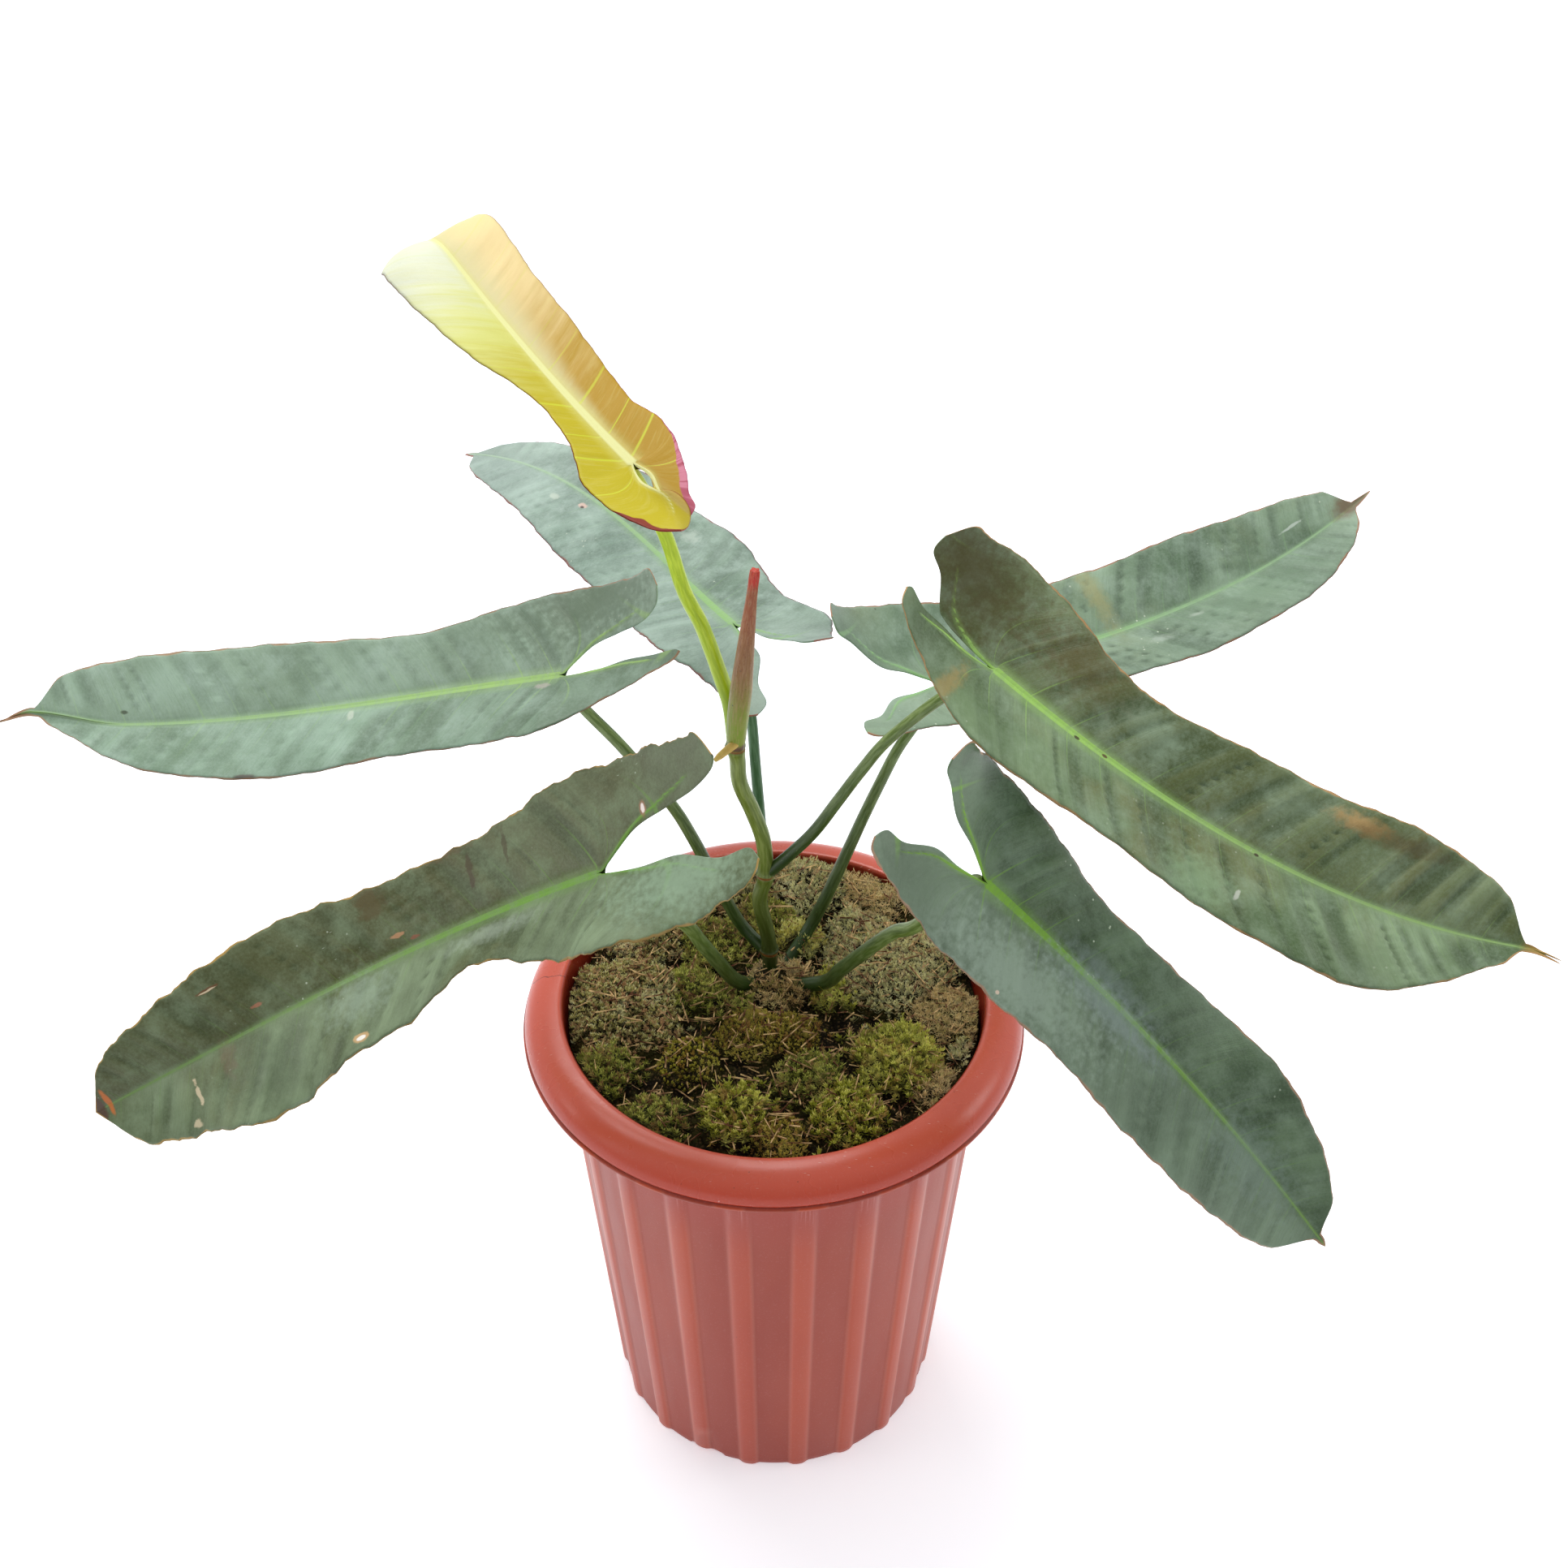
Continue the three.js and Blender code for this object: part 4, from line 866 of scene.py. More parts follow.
# %% Grown leaves
STRAW, OLIVE, CHAR, PALE = (214, 196, 160), (84, 72, 34), (66, 52, 24), (206, 214, 196)
MARKS = {
    "leaf_back_left": [
        (176, 7, 3.4, 1.8, 1.2, 0.3, (210, 176, 160), 0.8),
        (175, 8, 1.6, 1.0, 1.0, 0.3, (60, 44, 40), 0.9),
        (101, -21, 7, 4, 2.5, 0.7, (196, 208, 194), 0.35),
        (262, 0, 60, 60, 2.0, 0.95, (200, 216, 208), 0.25),
        (200, 12, 4, 2, 1.5, 0.4, PALE, 0.4)],
    "leaf_left": [
        (98, 38, 14, 1.8, 0.8, 0.4, (74, 58, 54), 0.75),
        (162, 34, 6, 1.4, 0.8, 0.4, (84, 60, 60), 0.7),
        (231, -6, 2.0, 0.9, 0.6, 0.4, (60, 70, 46), 0.8),
        (110, 6, 1.6, 3.0, 1.2, 0.4, PALE, 0.5),
        (8, 6, 4, 2, 1.6, 0.4, (196, 186, 180), 0.6),
        (-22, -36, 46, 20, 2.6, 0.9, (84, 104, 78), 0.65),
        (46, -26, 34, 12, 2.6, 0.9, (110, 134, 108), 0.35),
        (294, -5, 9, 9, 0.5, 0.4, (150, 84, 60), 0.7)],
    "leaf_front_left": [
        (288, -1, 4.5, 8, 0.9, 0.2, (84, 60, 44), 0.95),
        (281, -2, 1.4, 7, 0.9, 0.3, (206, 110, 40), 0.8),
        (-48, 18, 30, 14, 2.6, 0.9, (150, 178, 148), 0.6),
        (138, 12, 16, 9, 2.6, 0.9, (150, 170, 148), 0.5),
        (196, 22, 18, 12, 2.6, 0.9, (86, 102, 74), 0.5),
        (235, 16, 1.0, 6, 3.4, 0.3, STRAW, 0.75),
        (241, 29, 2.2, 2.2, 2.4, 0.3, STRAW, 0.7),
        (190, -9, 3.0, 0.9, 1.6, 0.3, (176, 110, 84), 0.7),
        (208, -26, 5.5, 0.9, 1.6, 0.25, (110, 66, 36), 0.8),
        (208, -25.6, 4.5, 0.4, 0.8, 0.25, STRAW, 0.95),
        (110, -9, 4.5, 0.9, 2.0, 0.3, (190, 140, 100), 0.75),
        (102, -5, 2.5, 0.8, 2.0, 0.3, (150, 80, 60), 0.6),
        (138, 33, 4.2, 2.3, 0.9, 0.2, (196, 160, 110), 0.9),
        (138, 33, 2.6, 1.1, 0.6, 0.2, (240, 236, 226), 0.95),
        (118, -28, 7, 7, 1.8, 0.35, OLIVE, 0.75),
        (66, -23, 1.5, 9, 2.6, 0.35, CHAR, 0.75),
        (46, -28, 1.2, 8, 2.6, 0.35, CHAR, 0.6),
        (80, -38, 16, 4, 2.2, 0.5, (96, 64, 36), 0.4),
        (214, 8, 4, 8, 2.4, 0.6, (116, 92, 70), 0.4),
        (60, 10, 22, 4, 2.4, 0.8, (170, 184, 166), 0.35),
        (-32, -20, 2.2, 3.8, 0.8, 0.25, (150, 110, 80), 0.9),
        (-32, -20, 1.2, 2.4, 0.8, 0.25, (240, 228, 220), 0.95)],
    "leaf_front_right": [
        (90, -4, 34, 7, 2.4, 0.8, (150, 166, 164), 0.5),
        (80, 7, 26, 5, 2.4, 0.8, (136, 152, 150), 0.35),
        (200, -3, 26, 12, 2.8, 0.7, (132, 152, 140), 0.35),
        (42, -24, 44, 13, 2.6, 0.9, (160, 180, 160), 0.65),
        (-38, -22, 20, 12, 2.6, 0.9, (80, 98, 74), 0.5),
        (38, -34, 1.2, 0.9, 0.4, 0.3, (226, 204, 180), 0.9)],
    "leaf_right": [
        (75, 22, 15, 9, 2.6, 0.9, (136, 158, 130), 0.55),
        (124, -27, 13, 9, 2.6, 0.9, (142, 172, 130), 0.55),
        (208, -25, 16, 9, 2.6, 0.9, (100, 120, 84), 0.5),
        (18, -30, 22, 9, 2.6, 0.9, (92, 118, 72), 0.45),
        (183, 33, 12, 3.6, 1.8, 0.8, (196, 158, 100), 0.75),
        (206, 31, 22, 4, 1.8, 0.7, (86, 72, 36), 0.6),
        (-10, -30, 4, 15, 2.0, 0.7, (164, 136, 74), 0.55),
        (-42, 24, 34, 20, 2.4, 0.9, (74, 64, 24), 0.7),
        (30, 28, 22, 12, 2.6, 0.9, (92, 78, 42), 0.5),
        (48, -1, 1.5, 0.8, 0.5, 0.3, (60, 44, 28), 0.9),
        (63, 0, 1.4, 0.7, 0.5, 0.3, (90, 66, 36), 0.9),
        (144, -1, 1.2, 0.7, 0.5, 0.3, (60, 44, 28), 0.9),
        (142, -26, 1.0, 2.4, 1.6, 0.3, (206, 210, 196), 0.6),
        (282, 0, 9, 4, 0.6, 0.5, (170, 128, 50), 0.75)],
    "leaf_back_right": [
        (114, 24, 5, 18, 1.8, 0.9, (160, 156, 102), 0.6),
        (160, -10, 4, 1.4, 2.4, 0.8, (200, 208, 196), 0.45),
        (130, -17, 7, 2.4, 2.6, 0.9, (190, 202, 188), 0.4),
        (196, -16, 32, 11, 2.6, 0.9, (108, 134, 106), 0.6),
        (246, 11, 7, 0.8, 1.6, 0.3, (200, 212, 200), 0.6),
        (286, 2, 14, 7, 1.0, 0.5, (110, 74, 48), 0.7)],
}
GROWN = {
    "leaf_back_left": {
        "pleats": (0.4, 0.4, 0.5), "veins": 0.15, "rows": 150, "drip": 8, "edge": 0.6, "paint": {
            "deep": (114, 137, 118), "light": (147, 168, 151), "bloom": (174, 193, 181),
            "rib": (140, 180, 112), "edge": (160, 96, 84), "cloud": (102, 128, 104), "cloud_amount": 0.55,
            "specks": 0.8, "seed": 2.3, "half_tint_and_shade": (1, (170, 192, 184), 0.2)}},
    "leaf_left": {
        "pleats": (0.6, 0.35, 0.6), "veins": 0.2, "rows": 150, "drip": 16, "edge": 0.5, "sway": (-5, 8),
        "paint": {
            "deep": (124, 150, 122), "light": (150, 176, 154), "bloom": (172, 194, 178),
            "rib": (166, 206, 120), "edge": (168, 130, 100), "cloud": (104, 124, 92), "cloud_amount": 0.45,
            "specks": 0.3, "seed": 5.1, "half_tint_and_shade": (-1, (168, 190, 166), 0.45)}},
    "leaf_front_left": {
        "pleats": (0.7, 0.7, 0.6), "veins": 0.15, "rows": 170, "drip": 0, "edge": 1.3, "paint": {
            "deep": (98, 111, 78), "light": (126, 143, 112), "bloom": (140, 158, 126),
            "rib": (112, 154, 68), "edge": (186, 150, 86), "cloud": (98, 96, 56), "cloud_amount": 0.7,
            "specks": 0.7, "seed": 8.6, "half_tint_and_shade": (-1, (82, 78, 24), 0.72)}},
    "leaf_front_right": {
        "pleats": (0.5, 0.4, 0.4), "veins": 0.1, "rows": 150, "drip": 4, "edge": 0.7, "paint": {
            "deep": (88, 107, 82), "light": (112, 133, 105), "bloom": (136, 156, 134),
            "rib": (132, 180, 66), "edge": (178, 138, 110), "cloud": (78, 84, 58), "cloud_amount": 0.45,
            "specks": 1.0, "seed": 3.9, "half_tint_and_shade": (-1, (146, 164, 142), 0.42)}},
    "leaf_right": {
        "pleats": (0.5, 1.5, 1.9), "veins": 0.25, "rows": 200, "drip": 14, "edge": 0.5, "sway": (0, -6),
        "paint": {
            "deep": (100, 122, 84), "light": (138, 160, 124), "bloom": (152, 172, 146),
            "rib": (160, 204, 104), "edge": (196, 152, 104), "cloud": (112, 104, 56), "cloud_amount": 0.6,
            "specks": 0.3, "seed": 6.7, "half_tint_and_shade": (1, (104, 98, 58), 0.42)}},
    "leaf_back_right": {
        "pleats": (0.5, 1.1, 0.5), "veins": 0.2, "rows": 150, "drip": 12, "edge": 0.5, "paint": {
            "deep": (110, 134, 106), "light": (140, 162, 136), "bloom": (160, 180, 162),
            "rib": (146, 188, 128), "edge": (176, 124, 96), "cloud": (126, 130, 88), "cloud_amount": 0.35,
            "specks": 0.9, "seed": 1.4, "half_tint_and_shade": (-1, (166, 186, 166), 0.25)}},
}
stalk_green = stalk_paint("stalk_green", (98, 118, 60), (38, 66, 22), (138, 156, 100))
stalk_shaded = stalk_paint("stalk_shaded", (90, 122, 88), (56, 88, 54), (130, 160, 130), foot=0.4)


def leaf_piece(name, look, upper, lower, stalk):
    """One object with the blade's two faces and its stalk, each with its own finish."""
    leaf = LEAVES[name]
    points, top_faces, low_faces, on_blade = blade_grids(leaf, look)
    tube_points, body, caps, on_stalk = stalk_tube(leaf)
    offset, extra = len(points), len(tube_points)
    carried = {label: np.concatenate([values, np.zeros((extra, *values.shape[1:]))])
               for label, values in on_blade.items()}
    for label, values in on_stalk.items():
        carried[label] = np.concatenate([np.zeros((offset, *values.shape[1:])), values])
    face_sets = [top_faces, low_faces, body + offset, caps + offset]
    all_points = np.concatenate([points, tube_points])
    return sealed(mesh_piece(name + "_fine", all_points, face_sets, [upper, lower, stalk, stalk], carried))


for name, look in GROWN.items():
    paint = look["paint"]
    upper = leaf_paint(name + "_upper", marks=MARKS[name], **paint)
    under = tuple(0.5 * (a + b) + 8 for a, b in zip(paint["deep"], paint["light"]))
    lower = underside_paint(name + "_underside", under, paint["rib"], paint["edge"], paint["seed"])
    stalk = stalk_shaded if name == "leaf_back_left" else stalk_green
    stands_for(leaf_piece(name, {**look, "seed": paint["seed"]}, upper, lower, stalk), name)

# %% [markdown]
# ### The young leaf
# It opened days ago and is thin, soft and golden. The left half is yellow-green, the right half golden, and
# both pale out towards the midrib and the far end, where the light comes through. Its underside is wine
# red, which shows where a margin rolls over. The right lobe still lies over the left one, as it did in the
# bud. The stalk is lime green.

# %% Young leaf
YOUNG_SEED = 4.4


def young_halves(f, streaks):
    """The left half goes from yellow-green to cream, and the right half glows beside the midrib."""
    wobble = f.times(f.minus(streaks, 0.5), 0.55)
    far = f.plus(f.stretch(f.u, 0.0, 0.19), wobble)
    left = f.blend(f.stretch(far, 0.1, 0.6), (182, 168, 20), (203, 205, 116), 0)
    left = f.mix(f.stretch(far, 0.5, 0.95), left, linear((214, 218, 194)))
    right = f.blend(f.stretch(far, 0.1, 0.95), (172, 134, 14), (228, 206, 148), 0)
    reach = f.stretch(f.u, 0.0, 0.13, 0.006, 0.019)
    bright = f.plus(f.maths("DIVIDE", f.maths("ABSOLUTE", f.v), reach), wobble)
    glow = f.times(f.stretch(bright, 0.1, 1.0, 1, 0), f.stretch(f.u, 0.0, 0.05, 0.2, 0.9))
    right = f.mix(glow, right, linear((206, 198, 146)))
    return f.mix(f.stretch(f.v, -0.0012, 0.0012), right, left)


def young_paint():
    """Two tints, one for each side of the midrib, pale ribs, and a rolled margin in wine red."""
    f = LeafFinish("leaf_young_upper", YOUNG_SEED, Roughness=0.46, Specular_IOR_Level=0.2)
    streaks = f.lines(1.3, 24, 4)
    f.colour = young_halves(f, streaks)
    f.stain(f.stretch(f.plus(f.u, f.times(streaks, 0.02)), 0.165, 0.2, 0, 0.6), (206, 202, 160))
    f.stain(f.stretch(f.lines(6.0, 90), 0.45, 0.75, 0, 0.16), (214, 206, 130))
    f.stain(f.times(f.hairlines(3, 0.08), f.stretch(f.u, 0.02, 0.1, 0.75, 0.12)), (196, 206, 50))
    f.stain(f.stretch(f.ribs, 0.7, 1.3, 1, 0), (226, 226, 168))
    f.stain(f.stretch(f.ribs, 1.0, 4.0, 0.4, 0), (206, 204, 116))
    # the rolled margin shows a strip of the wine red underside along the lobes
    on_left = f.stretch(f.v, -0.003, 0.003)
    strip = f.mix(on_left, f.stretch(f.u, -0.024, 0.012, 4.6, 0.35), f.stretch(f.u, -0.038, -0.02, 6.0, 0.5))
    strip = f.times(strip, f.stretch(f.noise(f.flat, 70, 2), 0.3, 0.7, 0.7, 1.2))
    rolled = f.stretch(f.maths("DIVIDE", f.inset, strip), 0.85, 1.05, 1, 0)
    pink = f.blend(f.stretch(f.lines(5.0, 30), 0.45, 0.6), (204, 124, 144), (172, 78, 98), 0)
    wine = f.mix(on_left, pink, linear((126, 44, 26)))
    f.stain(f.times(rolled, f.stretch(f.u, 0.0, 0.06, 1, 0.5)), wine)
    # the lobe that lies on top has a brown edge along the sinus and a shadow beside it
    flap = f.times(f.stretch(f.out, 0.008, 0.03, 0.8, 0), f.stretch(f.u, -0.014, -0.011, 1, 0))
    f.stain(flap, (140, 74, 40))
    shaded = f.times(f.stretch(f.out, 0.05, 0.5, 0.55, 0), f.stretch(f.u, -0.024, -0.014, 1, 0))
    f.stain(f.times(shaded, f.stretch(f.v, -0.006, 0.0)), (146, 130, 24))
    return f.done(normal=f.bumped(f.noise(f.flat, 700, 2), 0.0003, 0.3))


young_look = {"rows": 180, "pleats": (0.25, 0.3, 0.4), "veins": 0.2, "drip": 0, "edge": 0.4}
young = leaf_piece(
    "leaf_young", {**young_look, "seed": YOUNG_SEED}, young_paint(),
    underside_paint("leaf_young_underside", (158, 78, 84), (200, 150, 110), (120, 46, 40), YOUNG_SEED),
    stalk_paint("stalk_lime", (174, 202, 4), (146, 172, 6), (204, 226, 70), foot=0.4))
stands_for(young, "leaf_young")

# %% [markdown]
# ## Stem, root nub and rolled new leaf
# The stem is a short green cane. Every old leaf left a ring scar, a thin brown collar on a slight swelling.
# At the top node a yellow root nub starts, and the next leaf stands rolled in its sheath, red at the tip,
# brown and speckled in the middle and green at the foot. Each is a tube whose radius has the rings, the
# overlap line of the sheath and the bluntness of the tip added to it.

# %% Stem, nub and spear
NODES = np.array([301.0, 358.0, 446.0])
STEM_PATH = [(-2, 19, 250), (-2, 19, 289), (-3, 17.5, 312), (-7, 16, 339), (-4, 15, 357), (-5, 13, 382),
             (-10, 12, 402), (-16, 10, 422), (-17, 9, 438), (-18, 8, 449)]
NUB_PATH = [(-16, 5, 451), (-17, 2, 454), (-21, -1, 452.5), (-25, -2.5, 449.5), (-27.5, -3.5, 447.5)]
SPEAR_PATH = [(-17.5, 4, 450), (-16.5, 4, 466), (-14.5, 3, 486), (-12, 2, 512), (-9.5, 1, 537),
              (-7.5, 0, 555)]


def ringed(centre, turn):
    """A swelling exp(-(dz/4)^2) at each node, with a narrow groove and lip on it."""
    away = centre[:, 2][:, None] - NODES[None, :]
    swelling = (0.8 * np.exp(-((away / 4) ** 2)) + 0.5 * np.exp(-(((away - 1.3) / 0.7) ** 2))
                - 0.5 * np.exp(-(((away + 0.3) / 0.6) ** 2))).sum(1)
    return swelling[:, None] * (1 + 0.15 * np.sin(turn * 3 + 1.0))


def sheathed(centre, turn):
    """A step where the sheath's free edge lies over itself, winding a little on its way up, and fine ribs.

    The last few millimetres have a notched cap: five shallow lobes that grow towards the tip.
    """
    height = centre[:, 2][:, None]
    seam = (turn - 3.9 - 0.012 * (height - 450)) % (2 * np.pi)
    step = 0.42 * np.exp(-seam / 0.9) - 0.3 * np.exp(-(((seam - 0.05) / 0.12) ** 2))
    fine = 0.07 * np.sin(17 * turn + 0.05 * height) + 0.05 * np.sin(29 * turn)
    cap = 0.3 * np.sin(5 * turn + 0.8) * smooth_step(height, 545, 553)
    return (step + fine) * smooth_step(height, 449, 456) + cap


def stem_paint():
    """Green streaks, painted shade towards the bottom and a brown collar at each node, by height."""
    f = Finish("stem_green", Roughness=0.4, Specular_IOR_Level=0.45)
    height = f.parts(f.place())[2]
    grain = f.carried("grain")
    streaks = f.noise(grain, 700, 3)
    f.colour = f.blend(f.stretch(streaks, 0.35, 0.7), (112, 128, 56), (148, 162, 92))
    # painted shade: darker towards the bottom, where the stem stands under the leaves among the stalks
    f.coat(f.stretch(height, 0.29, 0.4, 0.85, 0), (40, 58, 18))
    f.coat(f.stretch(f.noise(grain, 220, 2), 0.5, 0.7, 0, 0.4), (60, 72, 24))
    for level in NODES * MM:
        f.coat(f.near(height, float(level), 0.0004, 0.0016, 0.9), (140, 84, 54))
    f.stain(f.dots(f.place(), 380, 0.05, 0.11, 0.5), (150, 158, 96))
    return f.done(normal=f.bumped(streaks, 0.0002, 0.5))


def spear_paint():
    """Green foot, brown speckled middle and red tip, by height, with fine lines along the sheath."""
    f = Finish("spear_skin", Roughness=0.42, Specular_IOR_Level=0.45)
    height = f.parts(f.place())[2]
    grain = f.carried("grain")
    lines = f.noise(grain, 1500, 3)
    uneven = f.plus(height, f.times(f.minus(f.noise(grain, 400, 2), 0.5), 0.022))
    f.colour = f.blend(f.stretch(uneven, 0.462, 0.502), (136, 156, 56), (150, 108, 72))
    f.coat(f.stretch(uneven, 0.502, 0.54), (158, 92, 64))
    f.coat(f.stretch(height, 0.543, 0.55), (192, 60, 42))
    f.coat(f.stretch(lines, 0.42, 0.7, 0, 0.34), (196, 156, 120))
    small = f.dots(f.place((1, 1, 0.5)), 900, 0.12, 0.3, 0.6)
    f.coat(f.times(small, f.stretch(height, 0.465, 0.5, 0.15, 0.8)), (112, 62, 48))
    blots = f.dots(f.place(), 190, 0.09, 0.15, 0.85)
    f.stain(f.times(blots, f.stretch(height, 0.47, 0.52, 1, 0)), (54, 44, 30))
    f.stain(f.stretch(height, 0.4515, 0.4545, 0.9, 0), (84, 36, 24))
    return f.done(normal=f.bumped(lines, 0.0003, 0.6))


def nub_paint():
    """Pale yellow with browner patches."""
    f = Finish("root_nub", Roughness=0.5, Specular_IOR_Level=0.4)
    mottled = f.noise(f.place(), 600, 3)
    f.colour = f.blend(mottled, (190, 150, 64), (222, 194, 110), 0)
    return f.done(normal=f.bumped(mottled, 0.0003, 0.6))


def tube_piece(name, finish, node, slot, *path_and_radii, **shape):
    """A tube of one finish that stands for a solid node, if there is one."""
    points, body, caps, carried = tube(*path_and_radii, **shape)
    stands_for(sealed(mesh_piece(name, points, [body, caps], [finish] * 2, carried)), node)


tube_piece("stem_fine", stem_paint(), "stem", "stem_green",
           STEM_PATH, [3.9, 3.9], sides=28, steps=330, swell=ringed)
tube_piece("root_nub", nub_paint(), None, "stem_green",
           NUB_PATH, [2.4, 2.2, 2.0, 1.7, 0.9], sides=20, steps=40)
tube_piece("new_leaf_spear_fine", spear_paint(), "new_leaf_spear", "spear_skin",
           SPEAR_PATH, [4.1, 5.0, 5.2, 3.9, 2.5, 2.0], sides=48, steps=170, swell=sheathed)

# %% [markdown]
# ## The pot
# One moulded piece of terracotta-red plastic: a tapered wall with twenty raised flutes, a thin flange, a
# rolled rim and a smooth inside. It could be turned on a lathe and fluted with a modifier. Here the profile
# is a list of points carried round the axis, and the flutes are added to the radius by the angle, which
# keeps their edges crisp. Under the foot four arched channels lead from the drain holes out through the
# wall.

# %% Pot surface
POT = {"height": 287.0, "foot": 88.2, "shoulder": 109.2, "mouth": 109.0, "rim": 130.0, "drop": 14.5,
       "flange": 3.0, "wall": 2.4, "floor": 6.0, "flutes": 20, "rise": 1.8, "first_flute": -99.5,
       "first_arch": -115.6, "arch_half": 11.0, "arch_height": 4.0, "arch_reach": 42.0, "drain_at": 56.0,
       "drain_radius": 5.0}
POT_SECTORS = 640


def flute_rise(angle):
    """How far the wall stands out at each angle, from 0 to 1: evenly spaced ribs with round shoulders."""
    pitch = 360 / POT["flutes"]
    place = (np.degrees(angle) - POT["first_flute"]) / pitch
    away = np.abs(place - np.round(place))
    crown = 1 - 0.2 * smooth_step(away, 0.0, 0.16)
    return crown * (1 - smooth_step(away, 0.09, 0.235))


def arch_room(x, y):
    """Height of the four drain channels, arched across their width, and of the drain holes in them."""
    room = np.zeros_like(x)
    for quarter in range(4):
        angle = np.radians(POT["first_arch"] + 90 * quarter)
        out = x * np.cos(angle) + y * np.sin(angle)
        aside = np.abs(-x * np.sin(angle) + y * np.cos(angle)) / POT["arch_half"]
        channel = POT["arch_height"] * np.sqrt(np.clip(1 - aside**2, 0, 1))
        channel = channel * smooth_step(out, POT["arch_reach"] - 0.5, POT["arch_reach"] + 0.5)
        away = np.hypot(out - POT["drain_at"], aside * POT["arch_half"])
        in_hole = (1 - smooth_step(away, POT["drain_radius"] - 0.4, POT["drain_radius"])) * (out > 0)
        room = np.maximum(room, np.maximum(channel, (POT["floor"] - 0.05) * in_hole))
    return room


def pot_profile():
    """Rows of radius, height and fluting, from the middle of the foot round the rim to the inside floor."""
    foot, shoulder, rim, mouth = (POT[size] for size in ("foot", "shoulder", "rim", "mouth"))
    height = POT["height"]
    top = height - POT["drop"]
    under = top - POT["flange"]
    rows = [(r, 0.0, 0.0) for r in (*np.linspace(0.5, 36, 5), *np.linspace(38, 86, 40))]
    rows += [(foot - 1.2, 0.0, 0.4), (foot - 0.4, 0.15, 0.9), (foot, 0.7, 1.0)]
    wall = [(share, 1.0) for share in np.linspace(0.015, 0.965, 12)]
    wall += [(0.98, 0.85), (0.99, 0.5), (0.996, 0.2), (0.9995, 0.0)]
    rows += [(foot + (shoulder - foot) * share, under * share, fluting) for share, fluting in wall]
    # the flange and the groove above it
    rows += [(shoulder + 1.5, under, 0.0), (rim - 0.5, under, 0.0)]
    edge = ((0.0, 0.4), (0.0, 1.5), (0.5, 2.1), (1.9, 2.3), (2.0, 2.8), (1.0, 3.1))
    rows += [(rim - back, under + up, 0.0) for back, up in edge]
    # the roll, a quarter of an ellipse, and the lip inside it
    crest = mouth + 2
    for turn in np.linspace(0.06, np.pi / 2, 22):
        rows.append((crest + (rim - 0.8 - crest) * np.cos(turn), top + POT["drop"] * np.sin(turn), 0.0))
    rows += [(mouth + 1.0, height - 0.35, 0.0), (mouth + 0.2, height - 1.2, 0.0)]
    # down the inside to the floor
    inside = foot + (shoulder - foot) * under / top - POT["wall"]
    for share in np.linspace(0.0, 1.0, 10) ** 0.8:
        rows.append((mouth + (inside - mouth) * smooth_step(share, 0, 1), height - 2.0 - 24 * share, 0.0))
    low_in = foot - POT["wall"] + (shoulder - foot) * POT["floor"] / top
    rows += [(low_in, POT["floor"] + 0.2, 0.0), (0.5, POT["floor"] + 0.2, 0.0)]
    return np.array(rows)


profile = pot_profile()
pot_angle = 2 * np.pi * np.arange(POT_SECTORS) / POT_SECTORS
flutes = flute_rise(pot_angle)
pot_radius = profile[:, :1] + POT["rise"] * profile[:, 2:] * flutes
pot_x, pot_y = pot_radius * np.cos(pot_angle), pot_radius * np.sin(pot_angle)
pot_z = np.repeat(profile[:, 1:2], POT_SECTORS, 1)
# the channels lift the foot's underside and the first rows of the wall
room = arch_room(pot_x, pot_y)
low_rows = np.arange(len(profile)) <= int(np.argmax(profile[:, 1] > 0.5)) + 1
pot_z[low_rows] = np.maximum(pot_z[low_rows], room[low_rows])
pot_points = np.stack([pot_x, pot_y, pot_z], -1).reshape(-1, 3)
pot_points = np.concatenate([pot_points, [[0, 0, 0.0], [0, 0, POT["floor"] + 0.2]]])
# each point carries how far it stands out on a flute and its bearing, in degrees from the pot's left side
bearing = (np.degrees(pot_angle) + 180) % 360
on_pot = {label: np.append(np.tile(values, len(profile)), [0, 0])
          for label, values in (("flute", flutes), ("turned", bearing))}
last_ring = (len(profile) - 1) * POT_SECTORS
pot_skin = grid_faces(len(profile), POT_SECTORS, around=True)
pot_ends = np.concatenate([fan_faces(len(pot_points) - 2, np.arange(POT_SECTORS), flip=True),
                           fan_faces(len(pot_points) - 1, np.arange(POT_SECTORS) + last_ring)])
print("pot rows:", len(profile), "deepest drain channel in millimetres:", round(float(room.max()), 2))

# %% [markdown]
# ### Pot plastic
# The plastic is coloured through, a terracotta red. The ribs have rubbed smooth and stay saturated, the
# panels between them are a little rougher and greyer. Light and shade are painted on as well: a pale
# highlight along the edges of each rib, pale reflections that hang from the flange on the ribs, a fine
# pale sheen, the roll of the rim lighter at its crest and darker towards the flange, and painted shade in
# the groove under the roll and on the inside wall.
# Handling has left pale scratches on the rim, a hairline crack on its left side and a few specks of dried
# soil. The finish reads how far a point stands out on a flute, so the change from rib to panel follows the
# moulding exactly.

# %% Pot paint
CRACK_BEARING = 353.0


def painted_rib_reflections(f, flute, turned, height):
    """Painted reflections: pale streaks hanging from the flange on the ribs, at uneven places round the pot.
    """
    hanging = f.node("CombineXYZ", {0: f.times(turned, 1.5), 1: f.times(height, 16), 2: 0.0}).outputs[0]
    runs = f.times(f.stretch(f.noise(hanging, 1.0, 2, 0.5), 0.54, 0.62), f.stretch(flute, 0.4, 0.7))
    return f.times(runs, f.times(f.stretch(height, 0.226, 0.262), f.stretch(height, 0.267, 0.269, 0.5, 0)))


